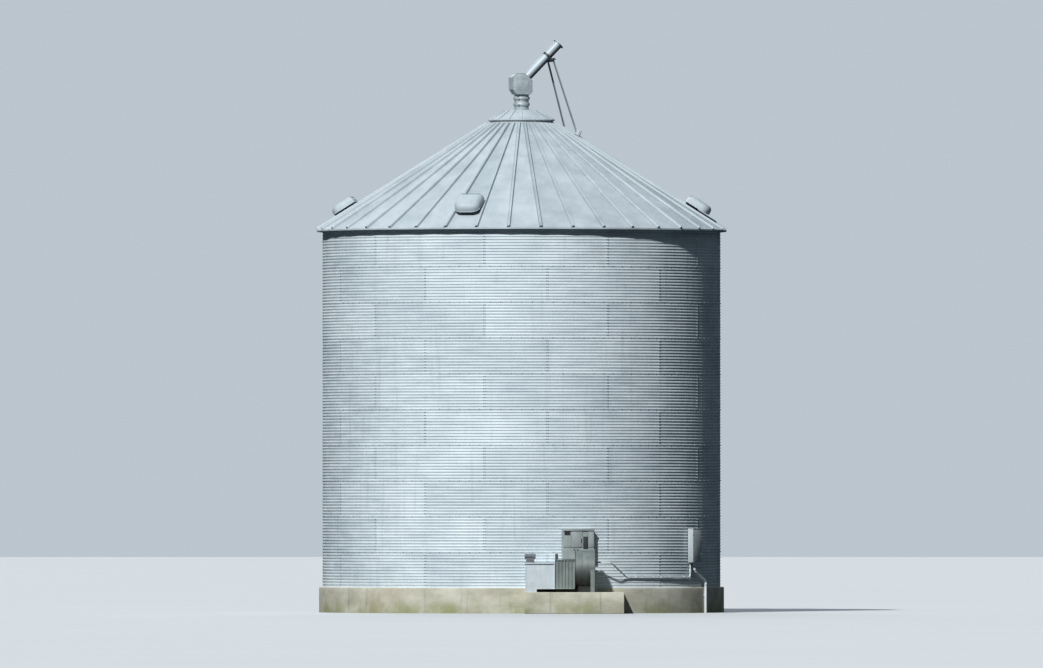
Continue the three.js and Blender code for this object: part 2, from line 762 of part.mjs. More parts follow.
// The run leaves the fan, crosses to the wall, follows it just above the foundation and turns up
// into the box. The outer radius of its corners keeps the straight runs between them off the wall.
function conduitRun() {
  const between = (CONDUIT_AZIMUTHS[1] - CONDUIT_AZIMUTHS[0]) / 2;
  const onWall = (BIN_RADIUS + CONDUIT.radius + 2 * GAP) / Math.cos(between * DEG);
  const [y, z] = CONDUIT.start;
  const points = [new THREE.Vector3(BARREL.right + GAP, y, z), new THREE.Vector3(CONDUIT.turnOff, y, z)];
  for (const azimuth of CONDUIT_AZIMUTHS) {
    points.push(around(onWall, azimuth, CONDUIT.height));
  }
  points.push(around(onWall, CONDUIT_AZIMUTHS.at(-1), BOX.bottom - GAP));
  const path = roundedPath(points, CONDUIT.bend);
  addMesh("conduit_run", pipeAlong(path, CONDUIT.radius, CONDUIT.steps), FINISH.pipe);
}

conduitRun();

function conduitRiser() {
  const outside = FOUNDATION_RADIUS + RISER.radius + RISER.clearance;
  const underBox = BOX.seat + BOX.depth / 2;
  const points = [
    around(outside, RISER.azimuth, 0),
    around(outside, RISER.azimuth, RISER.bendLow),
    around(underBox, RISER_TOP.azimuth, RISER_TOP.bendHigh),
    around(underBox, RISER_TOP.azimuth, BOX.bottom - GAP),
  ];
  const path = roundedPath(points, RISER.bend);
  addMesh("conduit_riser", pipeAlong(path, RISER.radius, RISER.steps), FINISH.pipe);
}

conduitRiser();

export default bin;
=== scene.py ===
import math

import bmesh
import bpy
import numpy as np
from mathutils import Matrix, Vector


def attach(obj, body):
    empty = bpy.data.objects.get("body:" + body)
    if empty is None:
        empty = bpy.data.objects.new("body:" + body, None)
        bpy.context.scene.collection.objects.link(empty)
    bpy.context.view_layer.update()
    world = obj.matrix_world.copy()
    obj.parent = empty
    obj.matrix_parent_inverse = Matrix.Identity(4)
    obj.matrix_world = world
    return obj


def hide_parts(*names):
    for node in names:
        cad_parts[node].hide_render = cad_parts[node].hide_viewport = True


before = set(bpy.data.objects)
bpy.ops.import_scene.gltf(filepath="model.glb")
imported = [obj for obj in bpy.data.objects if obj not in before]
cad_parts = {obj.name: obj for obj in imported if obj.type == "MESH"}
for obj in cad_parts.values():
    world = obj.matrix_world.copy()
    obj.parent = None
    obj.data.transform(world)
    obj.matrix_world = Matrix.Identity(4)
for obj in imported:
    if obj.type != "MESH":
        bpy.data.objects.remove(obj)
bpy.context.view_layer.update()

# Corrugated steel grain bin: the finish of every surface, and the thin sheets, folds and fastenings
# that the solids of the frame stand for. All sizes are metres and all angles are degrees.
# An azimuth of 0 points to the front, -Y, and grows towards the right, +X.

# Driving sizes, the same as the frame's
FOUNDATION_HEIGHT = 0.580
BIN_RADIUS = 4.572
FOUNDATION_RADIUS = 4.647
RING_COUNT = 10
RING_PITCH = 0.8128
WALL_TOP = FOUNDATION_HEIGHT + RING_COUNT * RING_PITCH

PANEL_COUNT = 40
PANEL_ANGLE = 360 / PANEL_COUNT
FIRST_RIB = -3.55
PANELS_PER_SECTION = 4
EAVE_RADIUS = 4.712
DRIP_HEIGHT = 8.752
ROOF_SLOPE = 31.9
ROOF_SHEET_DEPTH = 0.014
ROOF_TOP_RADIUS = 0.730
RIB_HEIGHT = 0.050
RIB_BASE = 0.076
RIB_TOP = 0.040

# A panel is flat between its ribs, so along its middle it is a little steeper than the ribs are
HALF_PANEL = math.radians(PANEL_ANGLE / 2)
PANEL_SLOPE = math.atan(math.tan(math.radians(ROOF_SLOPE)) / math.cos(HALF_PANEL))

VENT_AZIMUTHS = (-17.05, 81.95, 162.95, -98.05)
VENT_RADIUS = 4.010
HOOD = {
    "width": 0.600, "upper": 0.260, "lower": -0.325,
    "underside": 0.080, "height": 0.275, "bend": 0.115, "corner": 0.190,
}
VENT_NECK = {"width": 0.450, "upper": 0.235, "lower": -0.030}
HOOD_RIM = HOOD["underside"] + 0.022

COLLAR_RADIUS = 0.7297
LID = {"bottom": 11.2783, "radius": 0.765, "rim": 0.020, "top_radius": 0.380, "top": 11.520}
NECK = {
    "radius": 0.165, "top": 11.885,
    "band_radius": 0.188, "band_height": 0.070, "bands": (11.655, 11.795),
}
HEAD = {"bottom": 11.8853, "depth": 0.420, "left": -0.256}
HEAD_CUTS = {"top": 0.090, "left": (0.080, 0.115), "right": (0.040, 0.045)}
HEAD_FACE = {"across": 0.215, "height": 12.195, "length": 0.250}
SPOUT = {
    "azimuth": 104.5, "rise": 45.7, "radius": 0.104, "length": 1.076,
    "flange": 0.140, "head_flange": 0.122,
}
SADDLE = {"place": 0.685, "width": 0.060}
SADDLE_BAR = {"length": 0.580, "width": 0.072, "low": -0.166, "high": -0.108}
LEG_WIDTH = 0.045
LEG_TOP_SPREAD = 0.250
FOOT_RADIUS = 1.270
FOOT_AZIMUTHS = {"near": 81.95, "far": 126.95}
FOOT_PLATE = {"width": 0.290, "length": 0.130, "depth": 0.012, "lift": 0.0512}
SHOE = {"width": 0.080, "length": 0.100, "height": 0.130}

PAD = {"left": 0.070, "right": 2.320, "front": -5.700, "height": 0.486}
UNIT_LIFT = 0.070
DUCT = {
    "left": 0.090, "right": 0.760, "front": -5.330, "top": 1.157,
    "lip": 0.025, "sheet": 0.012, "foot": 0.345,
}
ACTUATOR = {"left": 0.070, "right": 0.320, "centre": -5.180, "width": 0.150, "height": 0.200}
BOOT = {"right": 1.210, "front": -5.330, "back": -4.600, "top": 1.225, "flutes": 6, "depth": 0.022}
BOOT_BOX = {"left": 0.764, "right": 0.828, "front": -5.140, "back": -5.020, "height": 0.132}
BARREL = {
    "right": 1.665, "radius": 0.440, "centre": -4.890, "lift": 0.060,
    "flange": 0.030, "wall": 0.015, "recess": 0.265,
}
BARREL_CENTRE_Z = PAD["height"] + BARREL["lift"] + BARREL["radius"]
MOTOR = {"radius": 0.150, "length": 0.200}
FAN_BLADES = 7
SKID = {"start": 0.780, "spread": 0.220, "width": 0.060}
CRADLE = {"left": 1.565, "right": 1.660, "half": 0.490, "height": 0.515}
CABINET = {
    "azimuth": 16, "width": 0.742, "depth": 0.160, "bottom": 1.235, "height": 0.683, "seat": 4.5709,
}

BOX = {"azimuth": 58, "width": 0.360, "depth": 0.160, "bottom": 1.152, "height": 0.776, "seat": 4.571}
CONDUIT = {"radius": 0.020, "bend": 0.080, "start": (-4.472, 1.157), "turn_off": 2.030, "height": 0.811}
CONDUIT_AZIMUTHS = (31.4, 37.8, 44.2, 50.6, 56.8)
STRAP_AZIMUTHS = (34.6, 41.0, 47.4, 53.7)
RISER = {"radius": 0.032, "bend": 0.080, "azimuth": 63.9, "bend_low": 0.710}
RISER_TOP = {"azimuth": 58.2, "bend_high": 0.960}

# Corrugated sheets
WAVES_PER_RING = 12
WAVE = RING_PITCH / WAVES_PER_RING
WAVE_DEPTH = 0.013
SHEETS_PER_RING = 10
SHEET_ANGLE = 360 / SHEETS_PER_RING
SHEET_THICKNESS = 0.0014
LAP_LIFT = 0.0016
LAP_ANGLE = 0.64
LEVEL_BOLT_ANGLE = 3.0
SEAM_BOLT_ANGLE = 0.2

# Folded sheets of the roof, the points across one of them, and which of those are the feet of its rib
ROOF_SHEET = 0.0012
ROOF_LAP = 0.0015
PANEL_COLUMNS = 16
RIB_FOOT_COLUMNS = [1, 6]
RIB_FOOT_DARKENING = 0.38

# Gaps that keep a piece just clear of the one it stands on
HAIR = 0.0003
CLEAR = 0.0005

# The photograph's frame, in pixels, and where the bin stands in it
PHOTO_PIXELS_PER_METRE = 1 / 0.05008
PHOTO_AXIS_X = 168.1
PHOTO_GROUND_Y = 551.5
VIEW_CENTRE_PIXEL = (168.1, 424.0)
VIEW_WIDTH_PIXELS = 478.0
CAMERA_DISTANCE = 420.0
CAMERA_HEIGHT = 2.6

# Light from the sky and the share of it that the floor sends back
SKY_AT_HORIZON = 0.025
SKY_OVERHEAD = 0.37
SKY_BRIGHTENS_FROM = 0.35
FLOOR_BOUNCE = (0.033, 0.045, 0.055)


# Surfaces as arrays


class Shape:
    """Points of a surface, and its faces as arrays of corner numbers, one array for each face size."""

    def __init__(self, points, *faces):
        self.points = np.asarray(points, float).reshape(-1, 3)
        self.faces = [np.asarray(part, int) for part in faces]

    def placed(self, matrix):
        """The shape carried by a 4 by 4 matrix: every point times the turn, plus the shift."""
        matrix = np.asarray(matrix, float)
        return Shape(self.points @ matrix[:3, :3].T + matrix[:3, 3], *self.faces)

    def repeated(self, matrices):
        """One copy of the shape for each of the matrices, as one shape."""
        matrices = np.asarray(matrices, float)
        points = np.einsum("mij,nj->mni", matrices[:, :3, :3], self.points) + matrices[:, None, :3, 3]
        starts = np.arange(len(matrices))[:, None, None] * len(self.points)
        faces = [(part[None] + starts).reshape(-1, part.shape[1]) for part in self.faces]
        return Shape(points, *faces)

    def shifted(self, shift):
        """The shape moved by a shift."""
        return Shape(self.points + np.asarray(shift, float), *self.faces)

    def spun(self, count, first=0.0):
        """Copies of the shape at even turns about +Z."""
        return self.repeated([
            basis((math.cos(turn), math.sin(turn), 0), (-math.sin(turn), math.cos(turn), 0), (0, 0, 1))
            for turn in np.radians(first + np.arange(count) * 360 / count)
        ])


def joined(*shapes):
    """Several shapes as one: points one after another, corner numbers moved on to match."""
    starts = np.cumsum([0] + [len(shape.points) for shape in shapes[:-1]])
    points = np.concatenate([shape.points for shape in shapes])
    faces = [part + start for shape, start in zip(shapes, starts) for part in shape.faces]
    return Shape(points, *faces)


def grid_quads(rows, columns, close_rows=False, close_columns=False):
    """Faces of a grid of points. A face looks along (next column) x (next row)."""
    row = np.arange(rows if close_rows else rows - 1)
    column = np.arange(columns if close_columns else columns - 1)
    row, column = np.meshgrid(row, column, indexing="ij")
    next_row = (row + 1) % rows
    next_column = (column + 1) % columns
    corners = [
        row * columns + column,
        row * columns + next_column,
        next_row * columns + next_column,
        next_row * columns + column,
    ]
    return np.stack(corners, axis=-1).reshape(-1, 4)


def grid_normals(grid):
    """Unit normals of a grid: the cross product of its steps along columns and along rows."""
    cross = np.cross(np.gradient(grid, axis=1), np.gradient(grid, axis=0))
    return cross / np.linalg.norm(cross, axis=-1, keepdims=True)


def plate(grid, thickness):
    """A closed sheet: the grid, a copy of it a thickness behind, and a rim that joins their edges."""
    rows, columns = grid.shape[:2]
    count = rows * columns
    back = grid - grid_normals(grid) * thickness
    front_faces = grid_quads(rows, columns)
    number = np.arange(count).reshape(rows, columns)
    edge = np.concatenate([number[0, :-1], number[:-1, -1], number[-1, :0:-1], number[:0:-1, 0]])
    after = np.roll(edge, -1)
    rim = np.stack([after, edge, edge + count, after + count], axis=1)
    points = np.concatenate([grid.reshape(-1, 3), back.reshape(-1, 3)])
    return Shape(points, front_faces, front_faces[:, ::-1] + count, rim)


def lofted(rings):
    """A closed shape through rings of points that run anticlockwise, with a flat face at each end."""
    levels, corners = rings.shape[:2]
    bottom = np.arange(corners)[::-1]
    top = np.arange(corners) + (levels - 1) * corners
    return Shape(rings, grid_quads(levels, corners, close_columns=True), bottom[None], top[None])


def around(radius, azimuth, height):
    """Points at a radius and azimuth about the bin's axis: x = r sin a, y = -r cos a, z = height."""
    radius, azimuth, height = np.broadcast_arrays(radius, np.radians(azimuth), height)
    return np.stack([radius * np.sin(azimuth), -radius * np.cos(azimuth), height], axis=-1)


def turned(profile, sides, closed=True, first=0.0):
    """A profile of (radius, height) pairs turned about +Z: every pair goes to every azimuth.

    The outer side of the profile runs upwards. One that isn't closed starts and ends on the axis."""
    profile = np.asarray(profile, float)
    azimuths = first + np.arange(sides) * 360 / sides
    grid = around(profile[:, :1], azimuths[None, :], profile[:, 1:])
    return Shape(grid, grid_quads(len(profile), sides, close_rows=closed, close_columns=True))


def hoop(inner, outer, low, high, sides):
    """A flat ring about +Z: a rectangle turned."""
    return turned([(inner, low), (outer, low), (outer, high), (inner, high)], sides)


def disc(radius, height, sides):
    """A round plate about +Z that rises from the origin: half a rectangle turned."""
    return turned([(0, 0), (radius, 0), (radius, height), (0, height)], sides, closed=False)


def at_height(outline, height):
    """Plan points as points of space at a height."""
    return np.column_stack([outline, np.full(len(outline), height)])


def moved_inwards(outline, distance):
    """An anticlockwise outline moved in by a distance: each corner slides along its mitre."""
    after = np.roll(outline, -1, axis=0) - outline
    after = after / np.linalg.norm(after, axis=1, keepdims=True)
    before = np.roll(after, 1, axis=0)
    inward_after = np.stack([-after[:, 1], after[:, 0]], axis=1)
    inward_before = np.stack([-before[:, 1], before[:, 0]], axis=1)
    mitre = inward_after + inward_before
    scale = 2 / np.maximum((mitre**2).sum(axis=1, keepdims=True), 0.5)
    return outline + mitre * scale * distance


def soft_prism(outline, low, high, edge, steps=2):
    """An anticlockwise outline pushed from low to high, with rounded edges at both ends.

    Over each edge the inset is e (1 - sin t) and the height is e (1 - cos t), for t from 0 to 90."""
    outline = np.asarray(outline, float)
    turn = np.linspace(0, math.pi / 2, steps + 1)
    inset = edge * (1 - np.sin(turn))
    rise = edge * (1 - np.cos(turn))
    insets = np.concatenate([inset, inset[::-1]])
    heights = np.concatenate([low + rise, (high - rise)[::-1]])
    rings = [at_height(moved_inwards(outline, inward), height) for inward, height in zip(insets, heights)]
    return lofted(np.stack(rings))


def moulding(outline, section):
    """A closed section carried round an anticlockwise outline.

    Each (outward, height) pair moves the whole outline out along its mitres and lifts it."""
    rings = [at_height(moved_inwards(outline, -out), height) for out, height in section]
    return Shape(np.stack(rings), grid_quads(len(section), len(outline), True, True))


def rounded_rectangle(low, high, radius, steps=3):
    """An anticlockwise rectangle with a quarter circle at each corner, of one radius or four."""
    radius = np.repeat(np.broadcast_to(np.asarray(radius, float), 4), steps + 1)
    quarter = np.linspace(0, 90, steps + 1)
    turn = np.radians((quarter[None, :] + np.array([[180], [270], [0], [90]])).ravel())
    centre_x = np.repeat([low[0], high[0], high[0], low[0]], steps + 1)
    centre_y = np.repeat([low[1], low[1], high[1], high[1]], steps + 1)
    inward_x = np.repeat([1, -1, -1, 1], steps + 1) * radius
    inward_y = np.repeat([1, 1, -1, -1], steps + 1) * radius
    x = centre_x + inward_x + radius * np.cos(turn)
    y = centre_y + inward_y + radius * np.sin(turn)
    return np.stack([x, y], axis=1)


def soft_box(low, high, edge, corner=None, steps=2):
    """A box between two corners with rounded edges: a rounded rectangle pushed upwards."""
    corner = edge * 1.5 if corner is None else corner
    outline = rounded_rectangle(low[:2], high[:2], corner)
    return soft_prism(outline, low[2], high[2], edge, steps)


def thin_box(low, high, edge=0.001):
    """A box of sheet or bar between two corners, with a single step over each edge."""
    return soft_box(low, high, edge, steps=1)


def swept(section, path, across, reference):
    """A closed section carried along a path, with a flat face at each end.

    The section's first direction is reference, made square to the path, and its second one
    is path direction x first direction. Across gives a scale for each path point."""
    path = np.asarray(path, float)
    section = np.asarray(section, float)
    along = np.gradient(path, axis=0)
    along /= np.linalg.norm(along, axis=1, keepdims=True)
    reference = np.broadcast_to(np.asarray(reference, float), path.shape)
    first = reference - along * (reference * along).sum(axis=1, keepdims=True)
    first /= np.linalg.norm(first, axis=1, keepdims=True)
    second = np.cross(along, first)
    scale = np.broadcast_to(np.asarray(across, float), (len(path),))[:, None, None]
    offsets = section[None, :, :1] * first[:, None] + section[None, :, 1:] * second[:, None]
    return lofted(path[:, None] + offsets * scale)


def circle(radius, sides):
    """An anticlockwise circle of points."""
    turn = np.arange(sides) * 2 * math.pi / sides
    return np.stack([radius * np.cos(turn), radius * np.sin(turn)], axis=1)


def tube_ring(radius, thickness, height, sides, tube_sides=8):
    """A ring of round wire about +Z: a small circle turned at the ring's radius."""
    small = circle(thickness / 2, tube_sides)
    profile = np.stack([radius + small[:, 0], height + small[:, 1]], axis=1)
    return turned(profile, sides)


def frames(origins, normals, up):
    """Matrices that carry +Z to each normal and +Y towards up, and put the origin at each point."""
    origins = np.asarray(origins, float)
    normals = np.broadcast_to(np.asarray(normals, float), origins.shape)
    normals = normals / np.linalg.norm(normals, axis=1, keepdims=True)
    first = np.cross(np.broadcast_to(np.asarray(up, float), origins.shape), normals)
    first /= np.linalg.norm(first, axis=1, keepdims=True)
    matrices = np.zeros((len(origins), 4, 4))
    matrices[:, :3, 0] = first
    matrices[:, :3, 1] = np.cross(normals, first)
    matrices[:, :3, 2] = normals
    matrices[:, :3, 3] = origins
    matrices[:, 3, 3] = 1
    return matrices


def basis(x, y, z, origin=(0, 0, 0)):
    """The matrix with these three axes and this origin."""
    matrix = np.eye(4)
    matrix[:3, 0] = x
    matrix[:3, 1] = y
    matrix[:3, 2] = z
    matrix[:3, 3] = origin
    return matrix


def lying_along_x(origin=(0, 0, 0)):
    """The matrix that lays +Z along +X, with +X along +Y and +Y upwards."""
    return basis((0, 1, 0), (0, 0, 1), (1, 0, 0), origin)


def facing_out(azimuth, origin=(0, 0, 0)):
    """The matrix of a place on the wall at an azimuth: X along the wall, -Y out of it, Z up."""
    return basis(around(1.0, azimuth + 90, 0.0), -around(1.0, azimuth, 0.0), (0, 0, 1), origin)


def bolt(radius, height):
    """A hexagon head from just under its seat to its crown, with a chamfer round the top."""
    rings = [(radius, -0.3 * height), (radius, 0.75 * height), (0.72 * radius, height)]
    return lofted(np.stack([at_height(circle(r, 6), z) for r, z in rings]))


WALL_BOLT = bolt(0.010, 0.007)
SMALL_BOLT = bolt(0.006, 0.005)


def bolts_at(kind, places, normals, up):
    """A bolt at each place, its head along the normal."""
    return kind.repeated(frames(places, normals, up))


def bolt_circle(kind, radius, height, facing, count, first=0.0):
    """Bolts at even azimuths on a circle about +Z. Facing is 1 where their heads are up, or -1."""
    azimuths = first + np.arange(count) * 360 / count
    return bolts_at(kind, around(radius, azimuths, height), (0, 0, facing), around(1.0, azimuths, 0.0))


def make_piece(name, shape, finish, nodes=(), sharp=35.0, merge=False):
    """Puts a shape into a mesh object that rides on the bin and takes a finish."""
    mesh = bpy.data.meshes.new(name)
    corners = np.concatenate([part.ravel() for part in shape.faces])
    sizes = np.concatenate([np.full(len(part), part.shape[1]) for part in shape.faces])
    mesh.vertices.add(len(shape.points))
    mesh.vertices.foreach_set("co", shape.points.astype(np.float32).ravel())
    mesh.loops.add(len(corners))
    mesh.loops.foreach_set("vertex_index", corners.astype(np.int32))
    mesh.polygons.add(len(sizes))
    starts = np.concatenate([[0], np.cumsum(sizes)[:-1]])
    mesh.polygons.foreach_set("loop_start", starts.astype(np.int32))
    mesh.update(calc_edges=True)
    if merge:
        close_poles(mesh)
    mesh.shade_smooth()
    mesh.set_sharp_from_angle(angle=math.radians(sharp))
    mesh.materials.append(finish)
    piece = bpy.data.objects.new(name, mesh)
    bpy.context.scene.collection.objects.link(piece)
    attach(piece, "root")
    if nodes:
        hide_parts(*nodes)
    return piece


def close_poles(mesh):
    """Merges points that lie on one another, such as those on a turned shape's axis."""
    work = bmesh.new()
    work.from_mesh(mesh)
    bmesh.ops.remove_doubles(work, verts=work.verts, dist=1e-5)
    work.to_mesh(mesh)
    work.free()


# Finishes


class Finish:
    """A material with short ways to add its nodes."""

    def __init__(self, name, metallic=0.0, specular=0.5):
        self.material = bpy.data.materials.new(name)
        self.material.use_nodes = True
        self.tree = self.material.node_tree
        self.shader = self.tree.nodes["Principled BSDF"]
        self.shader.inputs["Metallic"].default_value = metallic
        self.shader.inputs["Specular IOR Level"].default_value = specular
        self.place = self.add("ShaderNodeTexCoord").outputs["Object"]

    def add(self, kind, inputs=None, **settings):
        """A node with its settings made. Each input gets a value, or a link from a socket."""
        node = self.tree.nodes.new(kind)
        for key, value in settings.items():
            setattr(node, key, value)
        for socket, value in (inputs or {}).items():
            if isinstance(value, bpy.types.NodeSocket):
                self.tree.links.new(value, node.inputs[socket])
            else:
                node.inputs[socket].default_value = value
        return node

    def stretched(self, scale):
        """Object coordinates with each axis scaled."""
        return self.add("ShaderNodeMapping", {"Vector": self.place, "Scale": scale}).outputs[0]

    def noise(self, scale, detail=3.0, rough=0.55, stretch=(1, 1, 1)):
        """Soft noise from about 0 to 1, with scale in waves a metre."""
        inputs = {"Vector": self.stretched(stretch), "Scale": scale, "Detail": detail, "Roughness": rough}
        return self.add("ShaderNodeTexNoise", inputs).outputs["Fac"]

    def patches(self, amount, low, high, scale, detail, rough, stretch=(1, 1, 1)):
        """A soft mask: 0 where noise lies under low, and an amount where it lies over high."""
        return self.ranged(self.noise(scale, detail, rough, stretch), low, high, 0, amount, True)

    def cells(self, scale):
        """Cells with a random tone each, as the crystals of zinc are."""
        return self.add("ShaderNodeTexVoronoi", {"Vector": self.stretched((1, 1, 1)), "Scale": scale})

    def height(self):
        """The height above the ground."""
        return self.add("ShaderNodeSeparateXYZ", {"Vector": self.place}).outputs["Z"]

    def attribute(self, name):
        """The number that a piece holds at each of its points under a name."""
        return self.add("ShaderNodeAttribute", attribute_name=name).outputs["Fac"]

    def ranged(self, value, from_low, from_high, low, high, smooth=False):
        """A value carried from one range to another."""
        kind = "SMOOTHSTEP" if smooth else "LINEAR"
        inputs = {
            "Value": value, "From Min": from_low, "From Max": from_high, "To Min": low, "To Max": high,
        }
        return self.add("ShaderNodeMapRange", inputs, interpolation_type=kind).outputs["Result"]

    def math(self, operation, first, second):
        """A sum, difference or product of two values."""
        node = self.add("ShaderNodeMath", operation=operation)
        for socket, value in zip(node.inputs, (first, second)):
            if isinstance(value, bpy.types.NodeSocket):
                self.tree.links.new(value, socket)
            else:
                socket.default_value = value
        return node.outputs[0]

    def colour_ramp(self, factor, stops):
        """A colour from stops of (place, (red, green, blue))."""
        node = self.add("ShaderNodeValToRGB", {"Fac": factor})
        elements = node.color_ramp.elements
        while len(elements) < len(stops):
            elements.new(0.5)
        for element, (place, colour) in zip(elements, stops):
            element.position = place
            element.color = (*colour, 1)
        return node.outputs["Color"]

    def mixed(self, factor, first, second, kind="MIX"):
        """Two colours mixed by a factor."""
        node = self.add("ShaderNodeMix", data_type="RGBA", blend_type=kind)
        sockets = (node.inputs[0], node.inputs[6], node.inputs[7])
        for socket, value in zip(sockets, (factor, first, second)):
            if isinstance(value, bpy.types.NodeSocket):
                self.tree.links.new(value, socket)
            elif isinstance(value, tuple):
                socket.default_value = (*value, 1)
            else:
                socket.default_value = value
        return node.outputs[2]

    def shaded(self, colour, amount):
        """A colour multiplied by a value, which keeps its hue."""
        parts = {"Red": amount, "Green": amount, "Blue": amount}
        grey = self.add("ShaderNodeCombineColor", parts).outputs[0]
        return self.mixed(1.0, colour, grey, "MULTIPLY")

    def bump(self, height, distance, strength, under=None):
        """A normal bent by a height, on top of one that is bent already."""
        inputs = {"Height": height, "Distance": distance, "Strength": strength}
        if under is not None:
            inputs["Normal"] = under
        return self.add("ShaderNodeBump", inputs).outputs["Normal"]

    def done(self, colour, roughness, normal):
        """The material, once these three have gone to its shader."""
        self.tree.links.new(colour, self.shader.inputs["Base Color"])
        self.tree.links.new(roughness, self.shader.inputs["Roughness"])
        self.tree.links.new(normal, self.shader.inputs["Normal"])
        return self.material


CRYSTALS_PER_METRE = 70.0
GRIME = (0.21, 0.19, 0.15)
RAIN_MARK = (0.27, 0.29, 0.29)
EVEN = (2.4, 2.4, 2.4)
MOTTLED = (5, 5, 5)


def galvanised(
    name, dark, light, metallic=0.25, streak=(1.1, 1.1, 9.0), dirt=0.12,
    tone="", dull=(0.40, 0.56), blackening="", rain=0.0,
):
    """Weathered zinc: crystals, streaks along the sheet, soft clouds, some dirt and upright rain marks.

    Tone names an attribute that shifts the piece's tone; the other attribute, from 0 to 1, blackens it:
    painted shade on the spout's underside, and darkening at the foot of the roof's ribs.
    Dull is the roughness where the streaks are dark and where they are light."""
    finish = Finish(name, metallic=metallic)
    crystal = finish.ranged(finish.cells(CRYSTALS_PER_METRE).outputs["Color"], 0, 1, 0, 1)
    streaks = finish.noise(1.0, 4, 0.6, streak)
    clouds = finish.noise(0.9, 3, 0.5)
    body = finish.math("ADD", finish.math("MULTIPLY", streaks, 0.62), finish.math("MULTIPLY", clouds, 0.38))
    speckle = finish.math("MULTIPLY", finish.math("SUBTRACT", crystal, 0.5), 0.18)
    body = finish.math("ADD", body, speckle)
    if tone:
        body = finish.math("ADD", body, finish.attribute(tone))
    colour = finish.colour_ramp(body, [(0.30, dark), (0.68, light)])
    grime = finish.patches(dirt, 0.55, 0.80, scale=2.3, detail=5, rough=0.65, stretch=(1, 1, 0.35))
    colour = finish.mixed(grime, colour, GRIME)
    if rain:
        marks = finish.patches(rain, 0.50, 0.76, scale=1.0, detail=5, rough=0.65, stretch=(8, 8, 0.45))
        colour = finish.mixed(marks, colour, RAIN_MARK)
    # Painted shade on the spout's underside, and darkening at the rib feet on the roof: the colour falls to
    # a fifth where the attribute is 1.
    if blackening:
        colour = finish.shaded(colour, finish.ranged(finish.attribute(blackening), 0, 1, 1, 0.20))
    dullness = finish.ranged(streaks, 0.3, 0.7, *dull)
    roughness = finish.math("ADD", finish.math("MULTIPLY", crystal, 0.10), dullness)
    wavy = finish.bump(finish.noise(3.2, 2, 0.5, (1, 1, 1.6)), 0.010, 0.5)
    normal = finish.bump(finish.noise(160.0, 2, 0.5), 0.0004, 0.4, wavy)
    return finish.done(colour, roughness, normal)


def concrete():
    """Weathered concrete: grey beige with rusty and green tints, pores and a damp foot."""
    finish = Finish("weathered_concrete", specular=0.25)
    clouds = finish.noise(1.3, 5, 0.6, (1, 1, 1.8))
    colour = finish.colour_ramp(clouds, [
        (0.30, (0.38, 0.365, 0.285)),
        (0.48, (0.53, 0.505, 0.405)),
        (0.62, (0.62, 0.60, 0.50)),
        (0.78, (0.69, 0.67, 0.58)),
    ])
    rust, moss, wet = (0.42, 0.30, 0.19), (0.29, 0.31, 0.14), (0.17, 0.165, 0.13)
    rusty = finish.patches(0.40, 0.52, 0.72, scale=0.8, detail=4, rough=0.6)
    colour = finish.mixed(rusty, colour, rust)
    near_ground = finish.ranged(finish.height(), 0.05, 0.42, 1, 0, True)
    mossy = finish.ranged(finish.noise(1.7, 4, 0.6), 0.35, 0.65, 0.1, 0.85, True)
    colour = finish.mixed(finish.math("MULTIPLY", near_ground, mossy), colour, moss)
    drips = finish.patches(0.5, 0.56, 0.78, scale=1.0, detail=4, rough=0.65, stretch=(7, 7, 0.5))
    colour = finish.mixed(drips, colour, wet)
    pores = finish.cells(95.0).outputs["Distance"]
    pitted = finish.ranged(pores, 0.0, 0.22, 0, 1, True)
    colour = finish.shaded(colour, finish.ranged(pitted, 0, 1, 0.82, 1))
    roughness = finish.ranged(clouds, 0.3, 0.7, 0.95, 0.82)
    rough_face = finish.bump(finish.noise(22.0, 5, 0.6), 0.006, 0.6)
    return finish.done(colour, roughness, finish.bump(pitted, 0.002, 0.5, rough_face))


def painted(name, dark, light, wear, worn_share=0.5, metallic=0.0, painted_shade_below=None):
    """Old sprayed paint: faded clouds, runs of dirt and worn spots down to the metal.

    Given a pair of heights, it darkens evenly from the higher one down to the lower, as painted shade on
    undersides."""
    finish = Finish(name, metallic=metallic)
    clouds = finish.noise(4.0, 4, 0.6)
    colour = finish.colour_ramp(clouds, [(0.32, dark), (0.68, light)])
    runs = finish.patches(0.42, 0.52, 0.75, scale=1.0, detail=4, rough=0.6, stretch=(16, 16, 1.4))
    colour = finish.mixed(runs, colour, tuple(0.42 * part for part in dark))
    worn = finish.patches(worn_share, 0.64, 0.70, scale=11.0, detail=6, rough=0.7)
    colour = finish.mixed(worn, colour, wear)
    # Painted shade: darker towards the bottom, down to about a ninth of the colour at the lower height.
    if painted_shade_below:
        colour = finish.shaded(colour, finish.ranged(finish.height(), *painted_shade_below, 0.11, 1.0, True))
    roughness = finish.ranged(finish.noise(14.0, 3, 0.5), 0.3, 0.7, 0.38, 0.6)
    normal = finish.bump(finish.noise(240.0, 2, 0.5), 0.0003, 0.5)
    return finish.done(colour, roughness, normal)


WALL = galvanised(
    "galvanised_wall", (0.47, 0.54, 0.58), (0.71, 0.78, 0.81), 0.08,
    tone="sheet_tone", dull=(0.56, 0.72), rain=0.22,
)
DUCT_STEEL = galvanised(
    "duct_steel", (0.40, 0.46, 0.50), (0.60, 0.66, 0.69), 0.12, (3, 3, 3),
    tone="sheet_tone", dull=(0.50, 0.64), rain=0.30,
)
ROOF = galvanised(
    "galvanised_roof", (0.363, 0.42, 0.45), (0.532, 0.588, 0.62), 0.10, EVEN,
    tone="sheet_tone", dull=(0.54, 0.70), blackening="rib_foot_darkening",
)
HOOD_STEEL = galvanised(
    "hood_steel", (0.36, 0.42, 0.45), (0.54, 0.60, 0.63), 0.10, EVEN,
    tone="sheet_tone", dull=(0.60, 0.72),
)
